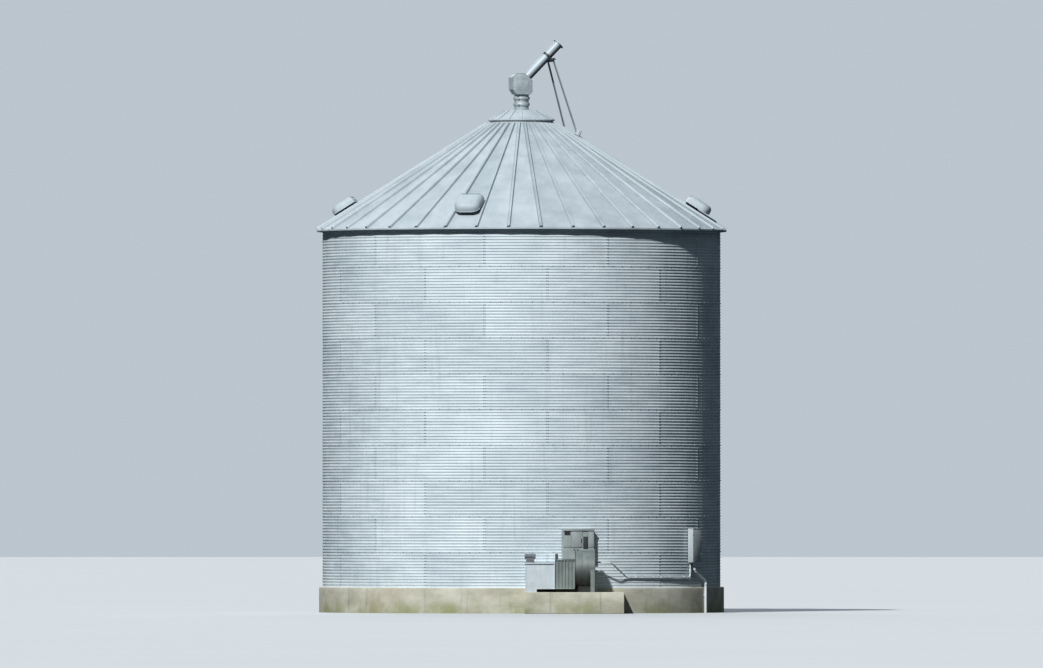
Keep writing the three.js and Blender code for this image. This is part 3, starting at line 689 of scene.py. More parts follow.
# The spout's steel carries painted shade: its underside is blackened by an attribute.
SPOUT_STEEL = galvanised(
    "spout_steel", (0.36, 0.42, 0.45), (0.54, 0.60, 0.63), 0.15, MOTTLED, 0.25, blackening="underside_painted_shade"
)
LEG_STEEL = galvanised("leg_steel", (0.22, 0.255, 0.275), (0.36, 0.405, 0.425), 0.10, MOTTLED, 0.25)
TRIM = galvanised("galvanised_trim", (0.345, 0.40, 0.42), (0.55, 0.605, 0.635), streak=MOTTLED, dirt=0.25)
DARK_STEEL = painted(
    "dark_steel", (0.040, 0.048, 0.054), (0.085, 0.095, 0.10), (0.20, 0.15, 0.11), metallic=0.4
)
FAN_PAINT = painted("fan_paint", (0.15, 0.18, 0.17), (0.235, 0.27, 0.255), (0.30, 0.27, 0.22))
# Fan paint with painted shade: darker below 1.23 m and nearly black at 0.69 m, for the shaded underside of
# the barrel and the shade under the unit.
FAN_PAINT_WITH_PAINTED_SHADE = painted(
    "fan_paint_with_painted_shade", (0.128, 0.153, 0.145), (0.20, 0.23, 0.217), (0.255, 0.23, 0.187),
    painted_shade_below=(0.69, 1.23),
)
ACTUATOR_PAINT = painted(
    "actuator_paint", (0.12, 0.135, 0.142), (0.19, 0.205, 0.212), (0.26, 0.24, 0.21), 0.4
)
CABINET_PAINT = painted("cabinet_paint", (0.30, 0.335, 0.33), (0.42, 0.46, 0.45), (0.40, 0.37, 0.31), 0.4)
BOX_PAINT = painted("box_paint", (0.38, 0.42, 0.43), (0.48, 0.52, 0.53), (0.30, 0.29, 0.27), 0.3)
GREY_PIPE = painted("grey_pipe", (0.56, 0.60, 0.63), (0.68, 0.72, 0.74), (0.35, 0.33, 0.30), 0.25)
WHITE_PIPE = painted("white_pipe", (0.66, 0.69, 0.72), (0.80, 0.82, 0.84), (0.40, 0.37, 0.32), 0.25)
CONCRETE = concrete()


# Wall


def wall_radius(height):
    """Radius of the corrugated wall: its mean plus half the wave's depth times cos(2 pi z / wave).

    Z is the height above the foundation's top."""
    mean = BIN_RADIUS - 2 * LAP_LIFT - WAVE_DEPTH / 2
    return mean + WAVE_DEPTH / 2 * np.cos(2 * math.pi * (height - FOUNDATION_HEIGHT) / WAVE)


def first_seam(ring):
    """The azimuth of a ring's first upright seam. The next ring's seams stand halfway between."""
    return 7.0 + (ring % 2) * SHEET_ANGLE / 2


def wall_sheets(ring):
    """A ring of ten corrugated sheets, each a grid of azimuth and height.

    The radius is the wave's, plus a lift that grows along the sheet, so that its end lies over the
    next one, and another that grows downwards, so that its foot lies over the ring below."""
    columns, rows_per_wave = 13, 6
    low = FOUNDATION_HEIGHT + ring * RING_PITCH - (WAVE / 2 if ring else -CLEAR)
    high = FOUNDATION_HEIGHT + (ring + 1) * RING_PITCH + (WAVE / 2 if ring < RING_COUNT - 1 else 0)
    rows = round((high - low) / WAVE * rows_per_wave) + 1
    height = np.linspace(low, high, rows)[:, None]
    share = np.linspace(0, 1, columns)[None, :]
    fall = (high - height) / (high - low)
    sheets = []
    for sheet in range(SHEETS_PER_RING):
        start = first_seam(ring) + sheet * SHEET_ANGLE
        azimuth = start + share * (SHEET_ANGLE + LAP_ANGLE)
        radius = wall_radius(height) + LAP_LIFT * share + LAP_LIFT * fall
        sheets.append(plate(around(radius, azimuth, height), SHEET_THICKNESS))
    name, node = f"wall_sheets_{ring + 1:02d}", f"wall_ring_{ring + 1:02d}"
    piece = make_piece(name, joined(*sheets), WALL, [node], 60)
    give_tones(piece, [len(sheet.points) for sheet in sheets], 100 + ring)


def give_values(piece, name, values):
    """Writes one number for each point of a piece into an attribute that its finish reads."""
    attribute = piece.data.attributes.new(name, "FLOAT", "POINT")
    attribute.data.foreach_set("value", np.asarray(values, np.float32))


def give_tones(piece, sizes, seed):
    """Gives each sheet of a piece a tone of its own, in the attribute sheet_tone."""
    tones = np.random.default_rng(seed).uniform(-0.07, 0.07, len(sizes))
    give_values(piece, "sheet_tone", np.repeat(tones, sizes))


def wall_bolts():
    """Bolts along every level joint and up both sides of every upright seam."""
    joints = FOUNDATION_HEIGHT + np.arange(1, RING_COUNT) * RING_PITCH
    rows = [np.meshgrid(np.arange(0, 360, LEVEL_BOLT_ANGLE), joints)]
    for ring in range(RING_COUNT):
        seams = first_seam(ring) + np.arange(SHEETS_PER_RING) * SHEET_ANGLE + LAP_ANGLE / 2
        columns = np.concatenate([seams - SEAM_BOLT_ANGLE, seams + SEAM_BOLT_ANGLE])
        levels = FOUNDATION_HEIGHT + ring * RING_PITCH + np.arange(1, WAVES_PER_RING) * WAVE
        rows.append(np.meshgrid(columns, levels))
    azimuth = np.concatenate([row[0].ravel() for row in rows])
    height = np.concatenate([row[1].ravel() for row in rows])
    places, normals = around(BIN_RADIUS, azimuth, height), around(1.0, azimuth, 0.0)
    shape = bolts_at(WALL_BOLT, places, normals, (0, 0, 1))
    make_piece("wall_bolts", shape, TRIM, sharp=20)


def eave_angle():
    """The rolled angle that closes the wall under the roof: an upright leg and one along the slope."""
    low, outer, sheet = WALL_TOP + CLEAR, BIN_RADIUS - CLEAR, 0.004
    inner = outer - 0.018
    steep = math.tan(math.radians(ROOF_SLOPE))
    top = DRIP_HEIGHT + (EAVE_RADIUS - outer) * steep - 0.001
    rise = (outer - inner) * steep
    profile = [
        (outer - sheet, low), (outer, low), (outer, top), (inner, top + rise), (inner, top + rise - sheet),
        (outer - sheet, top - sheet),
    ]
    ring = turned(profile, 160, first=FIRST_RIB)
    azimuths = FIRST_RIB + PANEL_ANGLE / 2 + np.arange(2 * PANEL_COUNT) * PANEL_ANGLE / 2
    places = around(outer, azimuths, low + 0.022)
    bolts = bolts_at(WALL_BOLT, places, around(1.0, azimuths, 0.0), (0, 0, 1))
    make_piece("eave_angle", joined(ring, bolts), TRIM, ["eave_ring"], 30)


def wall():
    for ring in range(RING_COUNT):
        wall_sheets(ring)
    wall_bolts()
    eave_angle()


def foundation():
    """The round base: a turned profile with a quarter circle at its top edge."""
    edge, middle = 0.018, 2.0
    radius, height = FOUNDATION_RADIUS - edge, FOUNDATION_HEIGHT - edge
    turn = np.radians(np.linspace(0, 90, 5))
    shoulder = np.stack([radius + edge * np.cos(turn), height + edge * np.sin(turn)], axis=1)
    side = np.stack([np.full(5, FOUNDATION_RADIUS), np.linspace(0, height, 6)[:-1]], axis=1)
    top = [(BIN_RADIUS, FOUNDATION_HEIGHT), (middle, FOUNDATION_HEIGHT), (0, FOUNDATION_HEIGHT)]
    profile = np.concatenate([[(0, 0), (middle, 0)], side, shoulder, top])
    shape = turned(profile, 180, closed=False)
    make_piece("foundation_concrete", shape, CONCRETE, ["foundation"], 40, merge=True)


# Roof


def roof_height(radius):
    """Height of the roof sheet's upper face on a rib line."""
    return DRIP_HEIGHT + ROOF_SHEET_DEPTH + (EAVE_RADIUS - radius) * math.tan(math.radians(ROOF_SLOPE))


def panel_section(width):
    """Places and heights of the points across a panel, for every radius at once.

    Across: a whole rib on the left edge, a flat, and a lower half rib that goes under the next
    panel's rib. Only the flat's width depends on the radius."""
    half_base, half_top = RIB_BASE / 2, RIB_TOP / 2
    left = np.array([
        (-half_base - 0.012, 0.0), (-half_base, 0.0),
        (-half_top - 0.002, RIB_HEIGHT - 0.004), (-half_top + 0.003, RIB_HEIGHT),
        (half_top - 0.003, RIB_HEIGHT), (half_top + 0.002, RIB_HEIGHT - 0.004),
        (half_base, 0.0), (half_base + 0.012, -ROOF_LAP),
    ])
    right = np.array([
        (-half_base - 0.006, -ROOF_LAP), (-half_base + 0.001, -ROOF_LAP),
        (-half_top + 0.001, RIB_HEIGHT - 0.006), (half_top - 0.004, RIB_HEIGHT - 0.005),
    ])
    middle = np.linspace(0.2, 0.8, 4)
    flat_left, flat_right = left[-1, 0], right[0, 0]
    width = np.asarray(width)[:, None]
    rib = np.broadcast_to(left[:, 0], (len(width), len(left)))
    flat = flat_left + middle[None, :] * (width + flat_right - flat_left)
    across = np.concatenate([rib, flat, width + right[:, 0]], axis=1)
    height = np.concatenate([left[:, 1], np.full(len(middle), -ROOF_LAP), right[:, 1]])
    return across, np.broadcast_to(height, across.shape)


def roof_panel(number):
    """One folded roof sheet from the peak to the eave, as a grid of radius and place across.

    The panel is flat: a point is the left rib's point at that radius, plus the place across along
    the panel's own level direction, plus the folded height along its normal. The folds' height
    fades to nothing near the peak."""
    azimuth = FIRST_RIB + number * PANEL_ANGLE
    peak, full = [0.735, 0.775], np.linspace(0.83, EAVE_RADIUS - 0.02, 16)
    radius = np.concatenate([peak, full, [EAVE_RADIUS - 0.002]])
    across, fold = panel_section(2 * radius * math.sin(HALF_PANEL))
    fade = np.clip((radius - peak[1]) / 0.05, 0, 1)[:, None]
    fold = fold * np.where(fold > 0, fade, 1)
    middle = azimuth + PANEL_ANGLE / 2
    level = around(1.0, middle + 90, 0.0)
    normal = around(math.sin(PANEL_SLOPE), middle, math.cos(PANEL_SLOPE))
    corner = around(radius, azimuth, roof_height(radius))
    return corner[:, None] + across[..., None] * level + fold[..., None] * normal


def rib_foot_darkening(rows):
    """Darkening on a panel, 0 to 1, for each point of both its faces: most at the foot of each rib's sides.
    """
    across = np.zeros(PANEL_COLUMNS)
    across[RIB_FOOT_COLUMNS] = RIB_FOOT_DARKENING
    return np.tile(across, 2 * rows)


def drip_edge(number):
    """The turned-down lip of a panel: a narrow grid from rib line to rib line and from the eave down."""
    azimuth = FIRST_RIB + number * PANEL_ANGLE
    width = 2 * EAVE_RADIUS * math.sin(HALF_PANEL)
    level = around(1.0, azimuth + PANEL_ANGLE / 2 + 90, 0.0)
    out = around(1.0, azimuth + PANEL_ANGLE / 2, 0.0)
    start = around(EAVE_RADIUS, azimuth, roof_height(EAVE_RADIUS))
    across = np.linspace(CLEAR, width - CLEAR, 5)
    inward = np.array([0.030, 0.006, 0.001, 0.0, 0.0])
    down = np.array([-0.0165, -0.0015, 0.004, 0.012, 0.036])
    points = start + across[None, :, None] * level - inward[:, None, None] * out
    return points[::-1] - down[::-1, None, None] * np.array([0, 0, 1.0])


def roof_sheets():
    """The roof's forty sheets in ten sections, each with its drip edges."""
    for section in range(PANEL_COUNT // PANELS_PER_SECTION):
        numbers = range(section * PANELS_PER_SECTION, (section + 1) * PANELS_PER_SECTION)
        # The second list holds the darkening at each rib's foot, for every point of the section.
        shapes, dirt = [], []
        for number in numbers:
            panel = roof_panel(number)[::-1]
            edge = plate(drip_edge(number), ROOF_SHEET)
            shapes += [plate(panel, ROOF_SHEET), edge]
            dirt += [rib_foot_darkening(len(panel)), np.zeros(len(edge.points))]
        name, node = f"roof_sheets_{section + 1:02d}", f"roof_section_{section + 1:02d}"
        piece = make_piece(name, joined(*shapes), ROOF, [node], 30)
        give_tones(piece, [len(shape.points) for shape in shapes], 200 + section)
        give_values(piece, "rib_foot_darkening", np.concatenate(dirt))


def roof_bolts():
    """Bolts along the top of every rib."""
    radius = np.linspace(1.05, EAVE_RADIUS - 0.12, 10)
    azimuth = FIRST_RIB + np.arange(PANEL_COUNT) * PANEL_ANGLE
    azimuth, radius = np.meshgrid(azimuth, radius)
    azimuth, radius = azimuth.ravel(), radius.ravel()
    slope = math.radians(ROOF_SLOPE)
    normals = around(math.sin(slope), azimuth, math.cos(slope))
    places = around(radius, azimuth, roof_height(radius)) + normals * RIB_HEIGHT
    shape = bolts_at(SMALL_BOLT, places, normals, around(1.0, azimuth, 0.0))
    make_piece("roof_bolts", shape, TRIM, sharp=20)


def roof():
    roof_sheets()
    roof_bolts()
    roof_vents()


def on_panel(azimuth, radius):
    """The matrix of a place on a panel's flat: X along the eave, Y up the slope, Z out of the roof."""
    normal = around(math.sin(PANEL_SLOPE), azimuth, math.cos(PANEL_SLOPE))
    along = around(1.0, azimuth + 90, 0.0)
    place = around(radius * math.cos(HALF_PANEL), azimuth, roof_height(radius))
    return basis(along, np.cross(normal, along), normal, place)


def vent_hood():
    """The hood as a folded shell: its plan outline rises to the bend, then shrinks over a quarter circle.

    A ring at an inset is the outline scaled about its middle by (half size - inset) / half size, each
    way by itself. The rings run down the inside, round the rim and up the outside."""
    half = np.array([HOOD["width"] / 2, (HOOD["upper"] - HOOD["lower"]) / 2])
    middle = np.array([0.0, (HOOD["upper"] + HOOD["lower"]) / 2])
    corner, bend, sheet = HOOD["corner"], HOOD["bend"], 0.004
    outline = rounded_rectangle(middle - half, middle + half, (corner, corner, 0.05, 0.05), 8)
    turn = np.radians(np.linspace(0, 90, 8))
    inset = np.concatenate([[0.0], bend * (1 - np.cos(turn)), [bend + 0.07]])
    start = HOOD["height"] - bend
    rise = np.concatenate([[HOOD_RIM], start + bend * np.sin(turn), [HOOD["height"] + 0.005]])

    def ring(inward, height):
        return at_height(middle + (outline - middle) * (half - inward) / half, height)

    rings = [ring(i + sheet, max(z - sheet, HOOD_RIM)) for i, z in zip(inset[::-1], rise[::-1])]
    rings += [ring(i, z) for i, z in zip(inset, rise)]
    bead = np.array([(0.007, 0.004), (0.0, 0.012), (-0.006, 0.004), (0.0, -0.004)]) + (0, HOOD_RIM)
    return joined(lofted(np.stack(rings)), moulding(outline, bead))


def vent_neck_outline():
    """The plan of the square neck under the upper half of the hood."""
    half = VENT_NECK["width"] / 2
    return rounded_rectangle((-half, VENT_NECK["lower"]), (half, VENT_NECK["upper"]), 0.012)


def vent_neck():
    """The neck: its plan pushed up into the hood."""
    return soft_prism(vent_neck_outline(), CLEAR, HOOD["height"] - 0.02, 0.002)


def vent_flange():
    """The neck's flat flange, bolted to the roof: its plan moved outwards."""
    return soft_prism(moved_inwards(vent_neck_outline(), -0.035), CLEAR, 0.004, 0.001, 1)


def vent_screen():
    """Crossing wires that close the mouth between the neck and the hood's lower rim."""
    wire, pitch, level = 0.003, 0.022, HOOD_RIM + 0.012
    low, high = HOOD["lower"] + 0.012, VENT_NECK["lower"] + 0.004
    reach = HOOD["width"] / 2 - 0.02
    shapes = [
        thin_box((-reach, y - wire, level), (reach, y, level + wire), 0.0005)
        for y in np.arange(low + 0.11, high, pitch)
    ]
    shapes += [
        thin_box((x - wire, low + 0.02, level), (x, high, level + wire), 0.0005)
        for x in np.arange(-reach + 0.13, reach - 0.12, pitch)
    ]
    return joined(*shapes)


def vent_bolts():
    """Bolts round the flange of the neck and along the hood's sides."""
    half, edge = VENT_NECK["width"] / 2 + 0.02, 0.018
    x = np.concatenate([np.linspace(-half, half, 7), np.full(3, half), np.full(3, -half)])
    y = np.concatenate([np.full(7, VENT_NECK["upper"] + edge), np.tile(np.linspace(0.02, 0.19, 3), 2)])
    flat = bolts_at(SMALL_BOLT, at_height(np.stack([x, y], axis=1), 0.004), (0, 0, 1), (0, 1, 0))
    side = HOOD["width"] / 2
    x = np.repeat([side, -side], 4)
    y = np.tile(np.linspace(-0.05, HOOD["upper"] - 0.05, 4), 2)
    out = np.stack([np.sign(x), 0 * x, 0 * x], axis=1)
    places = at_height(np.stack([x, y], axis=1), HOOD_RIM + 0.03)
    return joined(flat, bolts_at(SMALL_BOLT, places, out, (0, 0, 1)))


def roof_vents():
    for number, azimuth in enumerate(VENT_AZIMUTHS, 1):
        seat = on_panel(azimuth, VENT_RADIUS)
        name, node = f"vent_hood_{number}", f"roof_vent_{number}"
        hood = joined(vent_hood(), vent_flange(), vent_bolts()).placed(seat)
        piece = make_piece(name, hood, HOOD_STEEL, [node], 40)
        give_tones(piece, [len(hood.points)], 300 + number)
        # Painted shade: the neck, galvanised on the real vent, and the wire screen take the near-black dark
        # steel, for the deep shade in the mouth under the hood.
        mouth = joined(vent_neck(), vent_screen()).placed(seat)
        make_piece(f"vent_screen_{number}", mouth, DARK_STEEL, sharp=40)


# Peak and spout


def peak_lid():
    """The shallow conical cap: a thin turned sheet with a turned-down rim and radial standing folds."""
    bottom, top, radius, top_radius = LID["bottom"], LID["top"], LID["radius"], LID["top_radius"]
    rim = bottom + LID["rim"]
    sheet = 0.003
    profile = [
        (0, top - sheet), (top_radius, top - sheet), (radius - sheet, rim - sheet),
        (radius - sheet, bottom), (radius, bottom), (radius, rim), (top_radius, top), (0, top),
    ]
    cap = turned(profile, 96, closed=False)
    slope = math.atan2(top - rim, radius - top_radius)
    length = math.hypot(top - rim, radius - top_radius)
    fold = soft_box((-0.006, 0.012, -0.001), (0.006, length - 0.012, 0.016), 0.003, 0.004)
    fold_angle = 360 / 16
    azimuths = FIRST_RIB + PANEL_ANGLE / 2 + np.arange(16) * fold_angle
    normals = around(math.sin(slope), azimuths, math.cos(slope))
    upwards = around(-math.cos(slope), azimuths, math.sin(slope))
    folds = fold.repeated(frames(around(radius, azimuths, rim), normals, upwards))
    between = azimuths + fold_angle / 2
    places = around(radius, between, bottom + 0.01)
    bolts = bolts_at(SMALL_BOLT, places, around(1.0, between, 0.0), (0, 0, 1))
    shape = joined(cap, folds, bolts)
    piece = make_piece("lid_sheet", shape, ROOF, ["peak_lid"], 20, merge=True)
    give_tones(piece, [len(piece.data.vertices)], 310)


def peak_collar():
    """The upright ring under the lid."""
    low, high = roof_height(ROOF_TOP_RADIUS) - 0.04, LID["bottom"] - CLEAR
    ring = hoop(COLLAR_RADIUS - 0.004, COLLAR_RADIUS, low, high, 96)
    make_piece("collar_sheet", ring, TRIM, ["peak_collar"])


def neck_pipe():
    """The pipe between lid and head: round bands with a lug each, and a flange at the foot and the top."""
    low = LID["top"] + HAIR
    radius, band = NECK["radius"], NECK["band_radius"]
    foot_flange, top_flange = radius + 0.055, radius + 0.028
    profile = [(0, low), (foot_flange, low), (foot_flange, low + 0.008), (radius, low + 0.010)]
    lug, lug_azimuth = soft_box((-0.016, -0.03, -0.018), (0.016, 0.0, 0.018), 0.003), -20
    lugs = []
    for middle in NECK["bands"]:
        start, end = middle - NECK["band_height"] / 2, middle + NECK["band_height"] / 2
        profile += [
            (radius, start), (band - 0.005, start + 0.003), (band, start + 0.012),
            (band, end - 0.012), (band - 0.005, end - 0.003), (radius, end),
        ]
        lugs.append(lug.placed(facing_out(lug_azimuth, around(band, lug_azimuth, middle))))
    top = NECK["top"]
    profile += [(radius, top - 0.012), (top_flange, top - 0.010), (top_flange, top), (0, top)]
    pipe = turned(profile, 64, closed=False)
    foot = bolt_circle(WALL_BOLT, foot_flange - 0.024, low + 0.008, 1, 8)
    shape = joined(pipe, foot, *lugs)
    make_piece("neck_pipe", shape, TRIM, ["inlet_neck"], 30, merge=True)


SPOUT_ACROSS = around(1.0, SPOUT["azimuth"], 0.0)
SPOUT_SIDE = np.cross((0, 0, 1), SPOUT_ACROSS)
SPOUT_RISE = math.radians(SPOUT["rise"])
SPOUT_ALONG = SPOUT_ACROSS * math.cos(SPOUT_RISE) + np.array([0, 0, math.sin(SPOUT_RISE)])


def spout_frame(distance):
    """The matrix of a place on the spout's axis: X to its underside, Y sideways, Z along it."""
    half = HEAD_FACE["length"] / 2
    across = HEAD_FACE["across"] - half * math.sin(SPOUT_RISE)
    height = HEAD_FACE["height"] + half * math.cos(SPOUT_RISE)
    origin = SPOUT_ACROSS * across + np.array([0, 0, height]) + SPOUT_ALONG * distance
    return basis(np.cross(SPOUT_SIDE, SPOUT_ALONG), SPOUT_SIDE, SPOUT_ALONG, origin)


def head_outline():
    """The head's side view: a box with a sloping face square to the spout and cut corners."""
    face = (
        HEAD_FACE["across"] - HEAD_FACE["length"] * math.sin(SPOUT_RISE),
        HEAD_FACE["height"] + HEAD_FACE["length"] * math.cos(SPOUT_RISE),
    )
    left, right, bottom, top = HEAD["left"], HEAD_FACE["across"], HEAD["bottom"], face[1]
    left_cut, right_cut, top_cut = HEAD_CUTS["left"], HEAD_CUTS["right"], HEAD_CUTS["top"]
    return np.array([
        (left + left_cut[0], bottom), (right - right_cut[0], bottom),
        (right, bottom + right_cut[1]), (right, HEAD_FACE["height"]),
        face, (left + top_cut, top), (left, top - top_cut), (left, bottom + left_cut[1]),
    ])


def spout_head():
    """The head box: two lips near each side plate, a cover on each plate and bolts in the front one."""
    outline = head_outline()
    half = HEAD["depth"] / 2
    seat = basis(SPOUT_ACROSS, (0, 0, 1), -SPOUT_SIDE)
    body = soft_prism(moved_inwards(outline, 0.010), -half + 0.004, half - 0.004, 0.004)
    lips = [
        moulding(outline, [(-0.012, z), (0.0, z), (0.0, z + 0.005), (-0.012, z + 0.005)])
        for z in (-half, -half + 0.016, half - 0.021, half - 0.005)
    ]
    cover = rounded_rectangle((-0.170, 11.975), (0.110, 12.195), 0.02)
    covers = [soft_prism(cover, z, z + 0.006, 0.002) for z in (half - 0.006, -half)]
    places = [(x, height, half) for x in (-0.15, -0.03, 0.09) for height in (11.992, 12.178)]
    bolts = bolts_at(SMALL_BOLT, places, (0, 0, 1), (0, 1, 0))
    shape = joined(body, *lips, *covers, bolts).placed(seat)
    make_piece("head_box", shape, TRIM, ["spout_head"], 25)


def spout_pipe():
    """The spout's lower end: a thin pipe with a flange at each end and a lapped seam ring.

    Painted shade grows from 0 at the middle of its sides to 1 at 0.45 of the radius towards its underside."""
    bore, radius, length = SPOUT["radius"] - 0.004, SPOUT["radius"], SPOUT["length"]
    flange, head_flange = SPOUT["flange"], SPOUT["head_flange"]
    profile = [
        (bore, HAIR), (head_flange, HAIR), (head_flange, 0.010), (radius, 0.012), (radius, 0.300),
        (radius + 0.002, 0.303), (radius + 0.002, 0.345), (radius, 0.348), (radius, length - 0.014),
        (flange, length - 0.012), (flange, length), (bore, length),
    ]
    pipe = turned(profile, 56)
    end_bolts = bolt_circle(SMALL_BOLT, flange - 0.016, length - 0.012, -1, 8, 22.5)
    head_bolts = bolt_circle(SMALL_BOLT, head_flange - 0.009, 0.010, 1, 8, 22.5)
    shape = joined(pipe, end_bolts, head_bolts)
    # Painted shade: a share for each point, from 0 on the lit side to 1 on the underside.
    blackening = np.clip((shape.points[:, 0] / radius + 0.05) / 0.5, 0, 1)
    shape = shape.placed(spout_frame(0))
    piece = make_piece("spout_pipe", shape, SPOUT_STEEL, ["spout_stub"], 30)
    give_values(piece, "underside_painted_shade", blackening)


def spout_saddle():
    """A clamp band round the spout, its two ears, and a channel under it that the legs bolt to."""
    inner = SPOUT["radius"] + HAIR
    half = SADDLE["width"] / 2
    band = hoop(inner, inner + 0.006, -half, half, 56)
    low, high = -SADDLE_BAR["high"], -SADDLE_BAR["low"]
    reach, side = SADDLE_BAR["length"] / 2, SADDLE_BAR["width"] / 2
    sheet, edge = 0.006, 0.0015
    channel = [
        thin_box((low, -reach, -side), (low + sheet, reach, side), edge),
        thin_box((low, -reach, -side), (high, reach, -side + sheet), edge),
        thin_box((low, -reach, side - sheet), (high, reach, side), edge),
    ]
    ears = [
        thin_box((0.074, y - 0.004, -half), (low + sheet, y + 0.004, half), edge) for y in (-0.075, 0.075)
    ]
    places = [(low + 0.004, y, z) for y in (-LEG_TOP_SPREAD, LEG_TOP_SPREAD) for z in (-0.018, 0.018)]
    bolts = bolts_at(WALL_BOLT, places, (-1, 0, 0), (0, 1, 0))
    shape = joined(band, *channel, *ears, bolts).placed(spout_frame(SADDLE["place"]))
    make_piece("saddle_clamp", shape, DARK_STEEL, ["spout_saddle"])


def spout_leg(side_name, side):
    """An angle-iron leg from the saddle's channel to a foot plate that lies across two ribs."""
    saddle = spout_frame(SADDLE["place"])
    middle = -(SADDLE_BAR["low"] + SADDLE_BAR["high"]) / 2
    top = saddle[:3, :3] @ (middle - 0.02, side * LEG_TOP_SPREAD, 0) + saddle[:3, 3]
    panel = on_panel(FOOT_AZIMUTHS[side_name], FOOT_RADIUS)
    lift, depth = FOOT_PLATE["lift"], FOOT_PLATE["depth"]
    foot = panel[:3, :3] @ (0, 0, lift + depth) + panel[:3, 3]
    half, sheet = LEG_WIDTH / 2, 0.006
    angle = np.array([
        (-half, -half), (half, -half), (half, -half + sheet), (-half + sheet, -half + sheet),
        (-half + sheet, half), (-half, half),
    ])
    share = np.linspace(0, 1, 3)[:, None]
    leg = swept(angle, top + share * (foot - top), 1.0, SPOUT_ACROSS)
    make_piece(f"leg_angle_{side_name}", leg, LEG_STEEL, [f"spout_leg_{side_name}"])
    width, length = FOOT_PLATE["width"] / 2, FOOT_PLATE["length"] / 2
    plate_shape = soft_box((-width, -length, lift), (width, length, lift + depth), 0.002, 0.008)
    places = [(x, y, lift + depth) for x in (-width + 0.03, width - 0.03) for y in (-0.04, 0.04)]
    bolts = bolts_at(WALL_BOLT, places, (0, 0, 1), (0, 1, 0))
    shape = joined(plate_shape, bolts, leg_shoe(lift)).placed(panel)
    make_piece(f"leg_foot_{side_name}", shape, TRIM, sharp=30)


def leg_shoe(low):
    """The channel that a leg is bolted into: a web and two flanges, with a bolt through each flange."""
    half, reach = SHOE["width"] / 2, SHOE["length"] / 2
    sheet, edge = 0.006, 0.0015
    high = low + SHOE["height"]
    web = thin_box((-half, reach - sheet, low), (half, reach, high), edge)
    flanges = [thin_box((x, -reach, low), (x + sheet, reach, high), edge) for x in (-half, half - sheet)]
    places = [(-half, 0, low + 0.085), (half, 0, low + 0.085)]
    bolts = bolts_at(WALL_BOLT, places, [(-1, 0, 0), (1, 0, 0)], (0, 0, 1))
    return joined(web, *flanges, bolts)


def peak_and_spout():
    peak_collar()
    peak_lid()
    neck_pipe()
    spout_head()
    spout_pipe()
    spout_saddle()
    spout_leg("near", -1)
    spout_leg("far", 1)


# Fan unit


def back_arc(radius, left, right, count):
    """Points of the circle about the bin's axis, from the right x to the left one, as plan points."""
    x = np.linspace(right, left, count)
    return np.stack([x, -np.sqrt(radius**2 - x**2)], axis=1)


def fan_pad():
    """The cast pad: a plan outline with a back that follows the foundation, pushed up with worn edges."""
    left, right, front = PAD["left"], PAD["right"], PAD["front"]
    front_edge = np.linspace((left, front), (right, front), 8)
    outline = np.concatenate([front_edge, back_arc(FOUNDATION_RADIUS + 0.0008, left, right, 24)])
    shape = soft_prism(outline, 0, PAD["height"], 0.012, 3)
    make_piece("pad_concrete", shape, CONCRETE, ["fan_pad"], 50)


def cross_broken(corner, across, up, depth, count=9):
    """A sheet stiffened by a shallow pyramid: the rise at (u, v) is depth times 1 - max(|u|, |v|)."""
    corner, across, up = (np.asarray(value, float) for value in (corner, across, up))
    side = np.linspace(-1, 1, count)
    u, v = np.meshgrid(side, side)
    normal = np.cross(across, up)
    normal /= np.linalg.norm(normal)
    rise = depth * (1 - np.maximum(np.abs(u), np.abs(v)))
    flat = corner + (u[..., None] + 1) / 2 * across + (v[..., None] + 1) / 2 * up
    return plate(flat + rise[..., None] * normal, 0.0012)


